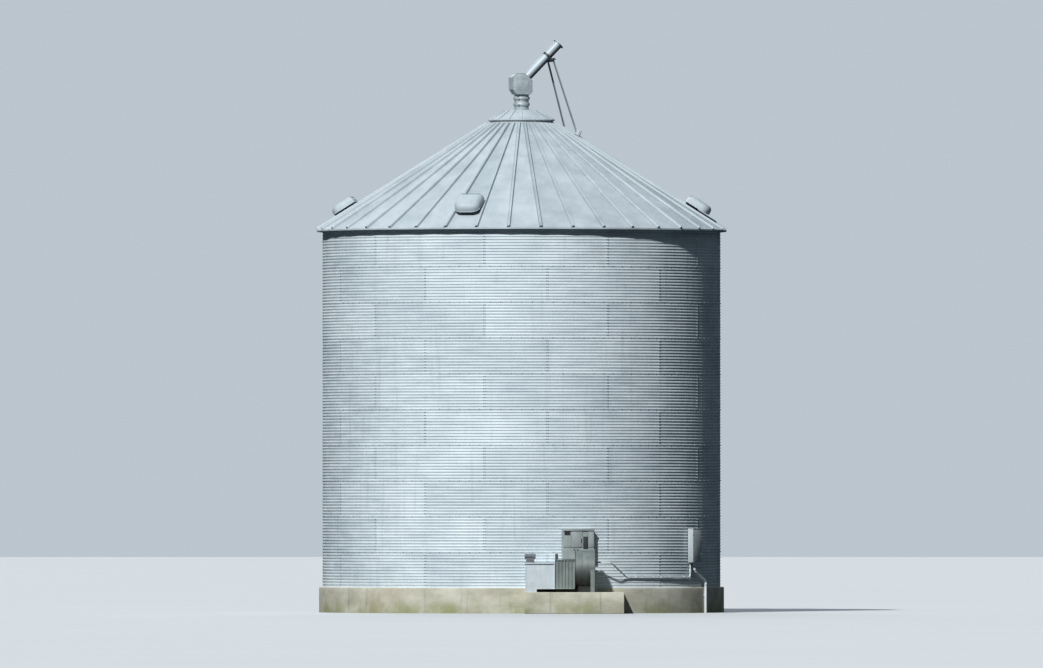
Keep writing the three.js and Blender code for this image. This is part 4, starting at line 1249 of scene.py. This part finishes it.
def transition_duct():
    """The galvanised duct from the fan into the wall, with cross-broken sides and flanged joints."""
    left, right, front, top = DUCT["left"], DUCT["right"], DUCT["front"], DUCT["top"]
    low = PAD["height"] + CLEAR
    raised = low + UNIT_LIFT
    on_lip, on_wall = FOUNDATION_RADIUS + 0.001, BIN_RADIUS + 0.001
    trunk = duct_block(left, right, [
        (raised, on_lip), (FOUNDATION_HEIGHT - CLEAR, on_lip), (FOUNDATION_HEIGHT + 0.001, on_wall),
        (top - DUCT["sheet"], on_wall),
    ])
    foot = duct_block(left + CLEAR, DUCT["foot"], [(low, on_lip), (raised + 0.002, on_lip)])
    out_left, out_front = left - DUCT["lip"], front - DUCT["lip"]
    cover = [[(out_left, out_front), (right, out_front)], back_arc(on_wall, out_left, right, 12)]
    top_sheet = soft_prism(np.concatenate(cover), top - 0.003, top, 0.001, 1)
    fall_foot, fall_top = top - 0.032, top - 0.001
    fall = [
        thin_box((out_left, out_front, fall_foot), (right, out_front + 0.002, fall_top), 0.0005),
        thin_box((out_left, out_front, fall_foot), (out_left + 0.002, -4.60, fall_top), 0.0005),
    ]
    tall, dent = top - 0.035 - raised, 0.012
    front_corner, front_width = (left + 0.03, front - 0.001, raised + 0.03), (right - left - 0.06, 0, 0)
    side_corner, side_width = (left - 0.001, -4.69, raised + 0.05), (0, front + 4.72, 0)
    panels = [
        cross_broken(front_corner, front_width, (0, 0, tall - 0.06), dent),
        cross_broken(side_corner, side_width, (0, 0, tall - 0.08), dent),
    ]
    bar_top, bar_right, bar_back = top - 0.012, right - 0.002, front + 0.010
    frame_bars = [
        thin_box((left - 0.002, front - 0.006, low), (left + 0.030, front + 0.030, bar_top)),
        thin_box((right - 0.028, front - 0.024, raised), (bar_right, bar_back, bar_top)),
        thin_box((left - 0.004, front - 0.004, raised), (bar_right, bar_back, raised + 0.025)),
    ]
    heights = np.linspace(raised + 0.06, top - 0.07, 6)
    columns = [(left + 0.014, front - 0.006), (right - 0.015, front - 0.024)]
    places = [(x, y, height) for x, y in columns for height in heights]
    bolts = bolts_at(SMALL_BOLT, places, (0, -1, 0), (0, 0, 1))
    shape = joined(trunk, foot, top_sheet, *fall, *panels, *frame_bars, bolts)
    piece = make_piece("duct_sheets", shape, DUCT_STEEL, ["transition_duct"], 30)
    give_tones(piece, [len(shape.points)], 330)


def duct_block(left, right, levels):
    """An upright block whose back follows the bin: one ring of plan points for each (height, radius)."""
    front_edge = [(left, DUCT["front"]), (right, DUCT["front"])]
    return lofted(np.stack([
        at_height(np.concatenate([front_edge, back_arc(radius, left, right, 12)]), height)
        for height, radius in levels
    ]))


def duct_actuator():
    """A small gear motor on a base: a round ribbed case along X with a domed cap at each end."""
    left, right, half = ACTUATOR["left"], ACTUATOR["right"], ACTUATOR["width"] / 2
    low = DUCT["top"] + HAIR
    seam = low + 0.018
    centre_z = low + ACTUATOR["height"] - 0.062
    middle = ACTUATOR["centre"]
    base = soft_box((left + 0.01, middle - half, low), (right - 0.01, middle + half, seam), 0.003)
    block = soft_box((left + 0.03, middle - 0.045, seam), (right - 0.03, middle + 0.045, centre_z), 0.004)
    radius, groove, end = 0.060, 0.054, right - left
    profile = [(0, 0), (radius - 0.014, 0.0), (radius - 0.003, 0.008), (radius, 0.022)]
    groove_section = [(radius, 0.0), (groove, 0.001), (groove, 0.007), (radius, 0.008)]
    for place in np.arange(0.035, end - 0.05, 0.016):
        profile += [(out, place + along) for out, along in groove_section]
    profile += [(radius, end - 0.022), (radius - 0.003, end - 0.008), (radius - 0.014, end), (0, end)]
    case = turned(profile, 28, closed=False).placed(lying_along_x((left, middle, centre_z)))
    shape = joined(base, block, case)
    make_piece("actuator_case", shape, ACTUATOR_PAINT, ["duct_actuator"], 35, merge=True)


def fan_boot():
    """The fluted section: its front outline goes in by a smooth step and out again in every flute.

    A smooth step of t is 3 t squared less 2 t cubed, for t from 0 to 1."""
    left, right = DUCT["right"] + CLEAR, BOOT["right"] - CLEAR
    front, back = BOOT["front"], BOOT["back"]
    share = np.linspace(0, 1, BOOT["flutes"] * 16 + 1)
    place = (share * BOOT["flutes"]) % 1.0
    slope, fall_start = 0.28, 0.62
    rise = np.clip(place / slope, 0, 1)
    fall = np.clip((place - fall_start) / slope, 0, 1)
    inward = BOOT["depth"] * (rise**2 * (3 - 2 * rise)) * (1 - fall**2 * (3 - 2 * fall))
    face = np.stack([left + share * (right - left), front + inward], axis=1)
    outline = np.concatenate([face, [(right, back), (left, back)]])
    low = PAD["height"] + UNIT_LIFT + CLEAR
    flutes = soft_prism(outline, low + 0.02, BOOT["top"] - 0.02, 0.001, 1)
    caps = [
        soft_box((left, front - 0.004, z), (right, back + 0.004, z + 0.022), 0.003)
        for z in (low, BOOT["top"] - 0.022)
    ]
    places = [(x, front - 0.004, BOOT["top"] - 0.011) for x in np.linspace(left + 0.03, right - 0.03, 7)]
    bolts = bolts_at(SMALL_BOLT, places, (0, -1, 0), (0, 0, 1))
    make_piece("boot_flutes", joined(flutes, *caps, bolts), FAN_PAINT, ["fan_boot"], 30)
    boot_box()


def boot_box():
    """The small dark box on the boot: a soft case with a proud cover in front, held by four screws."""
    left, right, front, back = (BOOT_BOX[key] for key in ("left", "right", "front", "back"))
    low, high = BOOT["top"] + HAIR, BOOT["top"] + BOOT_BOX["height"]
    case = soft_box((left, front + 0.006, low), (right, back, high - 0.003), 0.003)
    cover = soft_box((left - 0.001, front, low + 0.010), (right + 0.001, front + 0.0055, high), 0.002)
    places = [(x, front, z) for x in (left + 0.010, right - 0.010) for z in (low + 0.022, high - 0.012)]
    screws = bolts_at(SMALL_BOLT, places, (0, -1, 0), (0, 0, 1))
    make_piece("boot_box", joined(case, cover, screws), DARK_STEEL, sharp=30)


def on_fan_axis(start):
    """The matrix that lays +Z along the fan's axis, +X, from an x."""
    return lying_along_x((start, BARREL["centre"], BARREL_CENTRE_Z))


def fan_barrel():
    """The round housing: a turned profile with flanges, two rolled beads and a rounded inlet lip.

    A seam runs along its top, and each flange has its row of bolts."""
    length = BARREL["right"] - BOOT["right"]
    radius, rim = BARREL["radius"], BARREL["radius"] + BARREL["flange"]
    inside, floor_place = radius - BARREL["wall"], length - BARREL["recess"]
    flange = 0.008
    inner_face = length - flange
    profile = [(0, 0), (rim, 0), (rim, flange), (radius + 0.004, flange + 0.002), (radius, flange + 0.008)]
    bead_section = [(0.0, -0.012), (0.005, -0.006), (0.005, 0.006), (0.0, 0.012)]
    for place in (0.155, 0.290):
        profile += [(radius + out, place + along) for out, along in bead_section]
    profile += [
        (radius, inner_face - 0.008), (radius + 0.004, inner_face - 0.002), (rim, inner_face),
        (rim, length), (radius + 0.006, length), (radius - 0.006, length - 0.006),
        (inside, length - 0.022), (inside, floor_place), (0, floor_place),
    ]
    barrel = turned(profile, 96, closed=False)
    rows = [(inner_face, -1), (flange, 1), (length, 1)]
    ends = [bolt_circle(WALL_BOLT, radius + 0.017, place, facing, 16, 11.25) for place, facing in rows]
    seam = thin_box((-0.02, -0.0015, 0.01), (0.02, 0.0015, length - 0.01)).shifted((0, radius + 0.001, 0))
    shape = joined(barrel, *ends, seam).placed(on_fan_axis(BOOT["right"]))
    # Its paint darkens towards the bottom: painted shade on the barrel's lower half.
    make_piece("barrel_housing", shape, FAN_PAINT_WITH_PAINTED_SHADE, ["fan_barrel"], 30, merge=True)


def fan_wheel():
    """Blades round the motor: at each radius a shallow arc, whose pitch falls from hub to tip.

    Across a chord from -1/2 to 1/2 the arc's rise is its depth times 1 - 4 chord squared."""
    share = np.linspace(0, 1, 7)[:, None]
    chord = np.linspace(-0.5, 0.5, 7)[None, :]
    hub = MOTOR["radius"] + 0.012
    tip = BARREL["radius"] - BARREL["wall"] - 0.012
    radius = hub + share * (tip - hub)
    pitch = np.radians(42 - 16 * share)
    width = 0.150 - 0.02 * share
    camber = 0.012 * (1 - 4 * chord**2)
    turn = (chord * width * np.cos(pitch)) / radius
    along = 0.075 + chord * width * np.sin(pitch) + camber
    grid = np.stack([radius * np.sin(turn), -radius * np.cos(turn), along + 0 * radius], axis=-1)
    wheel = plate(grid, 0.004).spun(FAN_BLADES)
    shape = wheel.placed(on_fan_axis(BARREL["right"] - BARREL["recess"]))
    make_piece("fan_blades", shape, TRIM, sharp=50)


def fan_motor():
    """The motor: an outline with cooling fins pushed along the axis, a domed end and four struts.

    A fin is half of 1 + tanh(6 cos(number of fins times the turn)), from 0 in a gap to 1 on a fin."""
    points, fin_count = 144, 36
    turn = np.linspace(0, 2 * math.pi, points, endpoint=False)
    fins = 0.5 + 0.5 * np.tanh(6 * np.cos(fin_count * turn))
    radius = MOTOR["radius"] - 0.014 + 0.012 * fins
    outline = np.stack([radius * np.cos(turn), radius * np.sin(turn)], axis=1)
    finned = lofted(np.stack([at_height(outline, z) for z in (0.035, 0.165)]))
    hub, end = MOTOR["radius"] - 0.002, MOTOR["length"]
    back = turned([(0, 0), (hub, 0), (hub, 0.034), (0, 0.036)], 48, closed=False)
    dome = turned([
        (0, 0.164), (hub, 0.166), (hub, 0.180), (hub - 0.012, 0.192), (hub - 0.05, 0.198),
        (0.03, end), (0, end),
    ], 48, closed=False)
    reach = BARREL["radius"] - BARREL["wall"]
    struts = thin_box((-0.008, MOTOR["radius"] - 0.02, 0.125), (0.008, reach, 0.155), 0.002).spun(4, 45)
    seat = on_fan_axis(BARREL["right"] - BARREL["recess"] + CLEAR)
    shape = joined(finned, back, dome, struts).placed(seat)
    make_piece("motor_case", shape, DARK_STEEL, ["fan_motor"], 30, merge=True)


def inlet_guard():
    """A guard of round wire: rings at an even pitch, and spokes from the middle plate to the rim."""
    wire, pitch = 0.006, 0.0335
    rings = [tube_ring(radius, wire, wire / 2, 72, 6) for radius in np.arange(0.055, 0.43, pitch)]
    path = [(0, y, wire * 1.5) for y in (-0.045, -0.24, -0.427)]
    spokes = swept(circle(wire / 2, 6), path, 1.0, (1, 0, 0)).spun(8)
    shape = joined(*rings, spokes, disc(0.058, wire, 24)).placed(on_fan_axis(BARREL["right"] + CLEAR))
    make_piece("guard_wires", shape, TRIM, ["fan_inlet_guard"], 50, merge=True)


def fan_skid():
    """Two rails that run under the boot and rise to the barrel's curve, a flat bar and a cradle.

    The top of a rail and the cradle's inside follow the circle of the barrel, a little larger."""
    start, end = BOOT["right"] + 0.045, BARREL["right"] - 0.045
    low, raised = PAD["height"] + CLEAR, PAD["height"] + UNIT_LIFT - CLEAR
    middle, spread, half = BARREL["centre"], SKID["spread"], SKID["width"] / 2
    bar_start, bar_end = (start + 0.12, middle - spread, low), (start + 0.18, middle + spread, low + 0.04)
    shapes = [soft_box(bar_start, bar_end, 0.003)]
    for side in (-1, 1):
        across = side * spread + np.linspace(-half, half, 5)
        crest = BARREL_CENTRE_Z - np.sqrt((BARREL["radius"] + 0.0065) ** 2 - across**2)
        foot = [(across[0], low), (across[-1], low)]
        section = np.concatenate([foot, np.stack([across, crest], axis=1)[::-1]]) + (middle, 0)
        shapes.append(soft_prism(section, start, end, 0.002, 1).placed(lying_along_x()))
        near, far = middle + side * spread - half, middle + side * spread + half
        shapes.append(soft_box((SKID["start"], near, low), (start + 0.01, far, raised), 0.003))
    # The rails sit low enough for the painted shade in their paint to make them nearly black.
    make_piece("skid_rails", joined(*shapes), FAN_PAINT_WITH_PAINTED_SHADE, ["fan_skid"], 30)
    rim = BARREL["radius"] + BARREL["flange"]
    inner = cradle_plate(CRADLE["left"], BARREL["right"] - 0.034, BARREL["radius"] + 0.002)
    outer = cradle_plate(BARREL["right"] - 0.036, CRADLE["right"], rim + 0.002)
    make_piece("skid_cradle", joined(inner, outer), FAN_PAINT, sharp=30)


def cradle_plate(start, end, radius):
    """An upright plate across the fan's axis, with a half circle of a radius cut out of its top."""
    low, high = PAD["height"] + CLEAR, PAD["height"] + CRADLE["height"]
    half = CRADLE["half"]
    tip = math.asin((high - BARREL_CENTRE_Z) / radius)
    turn = np.linspace(tip, -math.pi - tip, 41)
    hollow = np.stack([radius * np.cos(turn), BARREL_CENTRE_Z + radius * np.sin(turn)], axis=1)
    outline = np.concatenate([[(-half, high), (-half, low), (half, low), (half, high)], hollow])
    return soft_prism(outline + (BARREL["centre"], 0), start, end, 0.002, 1).placed(lying_along_x())


def over_barrel(points):
    """Raises points that would lie inside the barrel or its flanges to just over them."""
    x, y = points[..., 0], points[..., 1]
    length = BARREL["right"] - BOOT["right"]
    along = (x - BOOT["right"]) / length
    at_flange = np.abs(along - 0.5) > 0.5 - 0.032 / length
    radius = BARREL["radius"] + 0.002 + np.where(at_flange, BARREL["flange"], 0)
    crest = BARREL_CENTRE_Z + np.sqrt(np.maximum(radius**2 - (y - BARREL["centre"]) ** 2, 0))
    beside = (along < -0.003) | (along > 1.003)
    raised = points.copy()
    raised[..., 2] = np.where(beside, points[..., 2], np.maximum(points[..., 2], crest))
    return raised


def fan_cabinet():
    """The cabinet on the wall: rings in the (Y, Z) plane carried along its width.

    The foot of each ring is raised where the barrel passes under it."""
    seat = facing_out(CABINET["azimuth"])
    half, wall, low = CABINET["width"] / 2, -CABINET["seat"], CABINET["bottom"]
    front, high = wall - CABINET["depth"], CABINET["bottom"] + CABINET["height"]
    inner, back, under_cap = front + 0.022, wall - CLEAR, high - 0.010
    foot_points = 6
    foot = np.stack([np.linspace(inner, back, foot_points), np.full(foot_points, low)], axis=1)
    ring = np.concatenate([foot, [(back, under_cap), (inner, under_cap)]])
    places = np.concatenate([[-half + 0.006], np.linspace(-half + 0.016, half - 0.016, 34), [half - 0.006]])
    points = np.stack([np.column_stack([np.full(len(ring), x), ring]) for x in places])
    placed = points @ seat[:3, :3].T
    placed[:, :foot_points] = over_barrel(placed[:, :foot_points])
    body = lofted(placed)
    cap = soft_box((-half, front, under_cap), (half, back, high), 0.003)
    drip = thin_box((-half, front, high - 0.042), (half, front + 0.003, high - 0.005))
    doors = [
        soft_box((-half + 0.012, inner - 0.006, 1.50), (-0.175, inner, 1.770), 0.002, 0.006),
        soft_box((-0.165, inner - 0.010, 1.50), (0.085, inner, high - 0.055), 0.003, 0.010),
        soft_box((0.235, inner - 0.006, 1.50), (half - 0.012, inner, high - 0.055), 0.002, 0.006),
    ]
    places = [(x, inner - 0.006, z) for x in (-0.345, -0.190, 0.250, 0.345) for z in (1.52, 1.63, 1.75)]
    bolts = bolts_at(SMALL_BOLT, places, (0, -1, 0), (0, 0, 1))
    shape = joined(body, joined(cap, drip, *doors, bolts).placed(seat))
    make_piece("cabinet_case", shape, CABINET_PAINT, ["fan_cabinet"], 30)
    cabinet_fittings(seat, inner)


def cabinet_fittings(seat, face):
    """Dark fittings: a louvred opening top left, an upright strip, a door handle and two knobs."""
    low, high = (-0.335, 1.790), (-0.205, 1.868)
    outline = rounded_rectangle(low, high, 0.006)
    upright = basis((1, 0, 0), (0, 0, 1), (0, -1, 0), (0, face, 0))
    rim = moulding(outline, [(-0.008, 0.0), (0.0, 0.0), (0.0, 0.012), (-0.008, 0.012)])
    back_plate = soft_prism(moved_inwards(outline, 0.004), -0.001, 0.003, 0.001, 1)
    slats = []
    for height in np.linspace(low[1] + 0.014, high[1] - 0.012, 4):
        ends = (low[0] + 0.006, high[0] - 0.006)
        edges = [(height - 0.008, 0.013), (height + 0.006, 0.003)]
        slats.append(plate(np.array([[(x, *edge) for x in ends] for edge in edges]), 0.0015))
    strip = soft_prism(rounded_rectangle((0.105, 1.475), (0.215, 1.745), 0.008), -0.001, 0.016, 0.004)
    handle = soft_prism(rounded_rectangle((0.052, 1.60), (0.070, 1.70), 0.008), 0.008, 0.022, 0.006)
    knob = turned([(0, 0), (0.014, 0), (0.014, 0.012), (0.010, 0.018), (0, 0.019)], 20, closed=False)
    knobs = [knob.shifted((x, 1.445, 0)) for x in (-0.105, -0.030)]
    shape = joined(rim, back_plate, *slats, strip, handle, *knobs).placed(upright)
    make_piece("cabinet_fittings", shape.placed(seat), DARK_STEEL, sharp=30, merge=True)


def fan_unit():
    fan_pad()
    transition_duct()
    duct_actuator()
    fan_boot()
    fan_barrel()
    fan_wheel()
    fan_motor()
    inlet_guard()
    fan_skid()
    fan_cabinet()


# Control box and conduits


def control_box():
    """The box on the wall: a soft case, a proud door with hinges and latches, a rain lip and feet."""
    seat = facing_out(BOX["azimuth"])
    half, back = BOX["width"] / 2, -BOX["seat"]
    front, low, high = back - BOX["depth"], BOX["bottom"], BOX["bottom"] + BOX["height"]
    case = soft_box((-half + 0.004, front + 0.016, low), (half - 0.004, back - 0.010, high), 0.006)
    door_low = (-half + 0.002, front + 0.003, low + 0.006)
    door_high = (half - 0.002, front + 0.015, high - 0.022)
    door = soft_box(door_low, door_high, 0.004)
    lip = soft_box((-half, front, high - 0.016), (half, back - 0.012, high), 0.004)
    hinges = [
        disc(0.007, 0.06, 12).shifted((-half + 0.006, front + 0.006, z))
        for z in (low + 0.09, low + BOX["height"] / 2, high - 0.16)
    ]
    latches = [
        soft_box((half - 0.045, front, z), (half - 0.012, front + 0.006, z + 0.045), 0.002)
        for z in (low + 0.17, high - 0.24)
    ]
    feet = [
        soft_box((x - 0.02, back - 0.012, z), (x + 0.02, back + CLEAR, z + 0.04), 0.002)
        for x in (-half + 0.05, half - 0.05) for z in (low + 0.04, high - 0.08)
    ]
    shape = joined(case, door, lip, *hinges, *latches, *feet).placed(seat)
    make_piece("box_case", shape, BOX_PAINT, ["control_box"], 30, merge=True)


def rounded_path(points, bend, spacing=0.05):
    """Straight runs through the points with a quadratic curve at each corner, a bend away from it."""
    points = np.asarray(points, float)
    stretches = []
    last = points[0]
    share = np.linspace(0, 1, 7)[:, None]
    for corner, following in zip(points[1:-1], points[2:]):
        before = corner + (last - corner) * bend / np.linalg.norm(last - corner)
        after = corner + (following - corner) * bend / np.linalg.norm(following - corner)
        count = max(2, int(np.linalg.norm(before - last) / spacing))
        stretches.append(last + (before - last) * np.linspace(0, 1, count, endpoint=False)[:, None])
        curve = (1 - share) ** 2 * before + 2 * share * (1 - share) * corner + share**2 * after
        stretches.append(curve[:-1])
        last = after
    count = max(2, int(np.linalg.norm(points[-1] - last) / spacing))
    stretches.append(last + (points[-1] - last) * np.linspace(0, 1, count)[:, None])
    return np.concatenate(stretches)


def outward(path):
    """The direction away from the bin's axis at each point of a path."""
    flat = path * (1, 1, 0)
    return flat / np.linalg.norm(flat, axis=1, keepdims=True)


def sleeves(path, places, radius, length):
    """Short collars round a pipe at shares of its path."""
    shapes = []
    for place in places:
        middle = int(place * (len(path) - 2))
        start, step = path[middle], path[middle + 1] - path[middle]
        step /= np.linalg.norm(step)
        line = start + step * np.array([[-0.5], [-0.42], [0.42], [0.5]]) * length
        reference = outward(start[None])[0]
        shapes.append(swept(circle(radius, 20), line, np.array([0.90, 1.0, 1.0, 0.90]), reference))
    return shapes


def conduit_run():
    """The pipe from the fan along the wall and up into the box, with couplings and straps."""
    radius, height = CONDUIT["radius"], CONDUIT["height"]
    off_wall = BIN_RADIUS + radius + 0.0006
    between = (CONDUIT_AZIMUTHS[1] - CONDUIT_AZIMUTHS[0]) / 2
    corner = off_wall / math.cos(math.radians(between))
    y, z = CONDUIT["start"]
    points = [(BARREL["right"] + HAIR, y, z), (CONDUIT["turn_off"], y, z)]
    points += [around(corner, azimuth, height) for azimuth in CONDUIT_AZIMUTHS]
    points.append(around(corner, CONDUIT_AZIMUTHS[-1], BOX["bottom"] - HAIR))
    path = rounded_path(points, CONDUIT["bend"])
    pipe = swept(circle(radius - 0.0015, 16), path, 1.0, outward(path))
    collars = sleeves(path, (0.02, 0.33, 0.62, 0.985), radius + 0.004, 0.05)
    ring = hoop(radius - 0.001, radius + 0.003, -0.012, 0.012, 20)
    foot = thin_box((-0.012, -0.002, 0.018), (0.012, 0.002, 0.055))
    straps = []
    for azimuth in STRAP_AZIMUTHS:
        along = around(1.0, azimuth + 90, 0.0)
        round_pipe = basis((0, 0, 1), np.cross(along, (0, 0, 1)), along, around(off_wall, azimuth, height))
        straps.append(ring.placed(round_pipe))
        straps.append(foot.placed(facing_out(azimuth, around(BIN_RADIUS + 0.003, azimuth, height))))
    make_piece("conduit_pipe", joined(pipe, *collars, *straps), GREY_PIPE, ["conduit_run"], 40)


def conduit_riser():
    """The wider pipe from the ground to the box, with two couplings and a clamp on the foundation."""
    radius, azimuth, top_azimuth = RISER["radius"], RISER["azimuth"], RISER_TOP["azimuth"]
    outside = FOUNDATION_RADIUS + radius + 0.003
    under_box = BOX["seat"] + BOX["depth"] / 2
    points = [
        around(outside, azimuth, 0.0), around(outside, azimuth, RISER["bend_low"]),
        around(under_box, top_azimuth, RISER_TOP["bend_high"]),
        around(under_box, top_azimuth, BOX["bottom"] - HAIR),
    ]
    path = rounded_path(points, RISER["bend"])
    pipe = swept(circle(radius - 0.002, 20), path, 1.0, outward(path))
    collars = sleeves(path, (0.42, 0.985), radius + 0.004, 0.07)
    seat = facing_out(azimuth, around(FOUNDATION_RADIUS + 0.004, azimuth, 0.40))
    clamp = soft_box((-0.06, -0.004, -0.014), (0.06, 0.004, 0.014), 0.002).placed(seat)
    make_piece("riser_pipe", joined(pipe, *collars, clamp), WHITE_PIPE, ["conduit_riser"], 40)


def electrics():
    control_box()
    conduit_run()
    conduit_riser()


# Camera, floor and light


def camera():
    """A long lens from the photograph's direction, aimed at the middle of the part of it that shows."""
    centre_x = (VIEW_CENTRE_PIXEL[0] - PHOTO_AXIS_X) / PHOTO_PIXELS_PER_METRE
    centre_z = (PHOTO_GROUND_Y - VIEW_CENTRE_PIXEL[1]) / PHOTO_PIXELS_PER_METRE
    view_width = VIEW_WIDTH_PIXELS / PHOTO_PIXELS_PER_METRE
    data = bpy.data.cameras.new("camera")
    data.lens = data.sensor_width * CAMERA_DISTANCE / view_width
    data.clip_start = 1.0
    data.clip_end = 3 * CAMERA_DISTANCE
    eye = bpy.data.objects.new("camera", data)
    eye.location = (0, -CAMERA_DISTANCE, CAMERA_HEIGHT)
    aim = Vector((centre_x, 0, centre_z)) - eye.location
    eye.rotation_euler = aim.to_track_quat("-Z", "Y").to_euler()
    bpy.context.scene.collection.objects.link(eye)
    bpy.context.scene.camera = eye


def floor():
    """A wide pale disc just under the bin."""
    shape = turned([(0, -0.02), (400, -0.02), (400, -0.001), (20, -0.001), (0, -0.001)], 96, closed=False)
    finish = Finish("pale_floor", specular=0.2)
    stops = [(0.3, (0.625, 0.633, 0.633)), (0.7, (0.645, 0.652, 0.65))]
    pale = finish.colour_ramp(finish.noise(0.15, 3), stops)
    colour = finish.mixed(finish.add("ShaderNodeLightPath").outputs["Is Camera Ray"], FLOOR_BOUNCE, pale)
    rough = finish.ranged(finish.noise(2.0), 0.3, 0.7, 0.85, 0.95)
    material = finish.done(colour, rough, finish.bump(finish.noise(8.0), 0.001, 0.2))
    mesh = bpy.data.meshes.new("floor")
    mesh.from_pydata(shape.points, [], [face for part in shape.faces for face in part.tolist()])
    close_poles(mesh)
    mesh.materials.append(material)
    ground = bpy.data.objects.new("floor", mesh)
    bpy.context.scene.collection.objects.link(ground)


def sun(name, azimuth, elevation, strength, spread, colour):
    """A distant soft light from an azimuth and elevation."""
    data = bpy.data.lights.new(name, "SUN")
    data.energy = strength
    data.angle = math.radians(spread)
    data.color = colour
    light = bpy.data.objects.new(name, data)
    rise = math.radians(elevation)
    direction = Vector(around(math.cos(rise), azimuth, math.sin(rise)))
    light.rotation_euler = direction.to_track_quat("Z", "Y").to_euler()
    light.location = direction * 30
    bpy.context.scene.collection.objects.link(light)


def surroundings():
    """A pale even backdrop that the camera sees, and a soft one, brighter overhead, as the bin's light."""
    world = bpy.data.worlds.new("studio")
    bpy.context.scene.world = world
    world.use_nodes = True
    tree = world.node_tree
    seen = tree.nodes["Background"]
    seen.inputs["Color"].default_value = (0.50, 0.56, 0.62, 1)
    seen.inputs["Strength"].default_value = 1.0
    lighting = tree.nodes.new("ShaderNodeBackground")
    lighting.inputs["Color"].default_value = (0.66, 0.84, 1.0, 1)
    direction = tree.nodes.new("ShaderNodeTexCoord")
    split = tree.nodes.new("ShaderNodeSeparateXYZ")
    tree.links.new(direction.outputs["Generated"], split.inputs[0])
    level = tree.nodes.new("ShaderNodeMapRange")
    level.inputs["From Min"].default_value = SKY_BRIGHTENS_FROM
    level.inputs["To Min"].default_value = SKY_AT_HORIZON
    level.inputs["To Max"].default_value = SKY_OVERHEAD
    tree.links.new(split.outputs["Z"], level.inputs["Value"])
    tree.links.new(level.outputs["Result"], lighting.inputs["Strength"])
    path = tree.nodes.new("ShaderNodeLightPath")
    choice = tree.nodes.new("ShaderNodeMixShader")
    tree.links.new(path.outputs["Is Camera Ray"], choice.inputs[0])
    tree.links.new(lighting.outputs[0], choice.inputs[1])
    tree.links.new(seen.outputs[0], choice.inputs[2])
    tree.links.new(choice.outputs[0], tree.nodes["World Output"].inputs["Surface"])


def studio():
    floor()
    surroundings()
    sun("key_light", -23.5, 40, 3.95, 2.0, (0.96, 0.985, 1.0))
    sun("fill_light", 190, 30, 1.0, 40, (0.85, 0.92, 1.0))
    bpy.context.scene.view_settings.view_transform = "Standard"


camera()
foundation()
wall()
roof()
peak_and_spout()
fan_unit()
electrics()
studio()
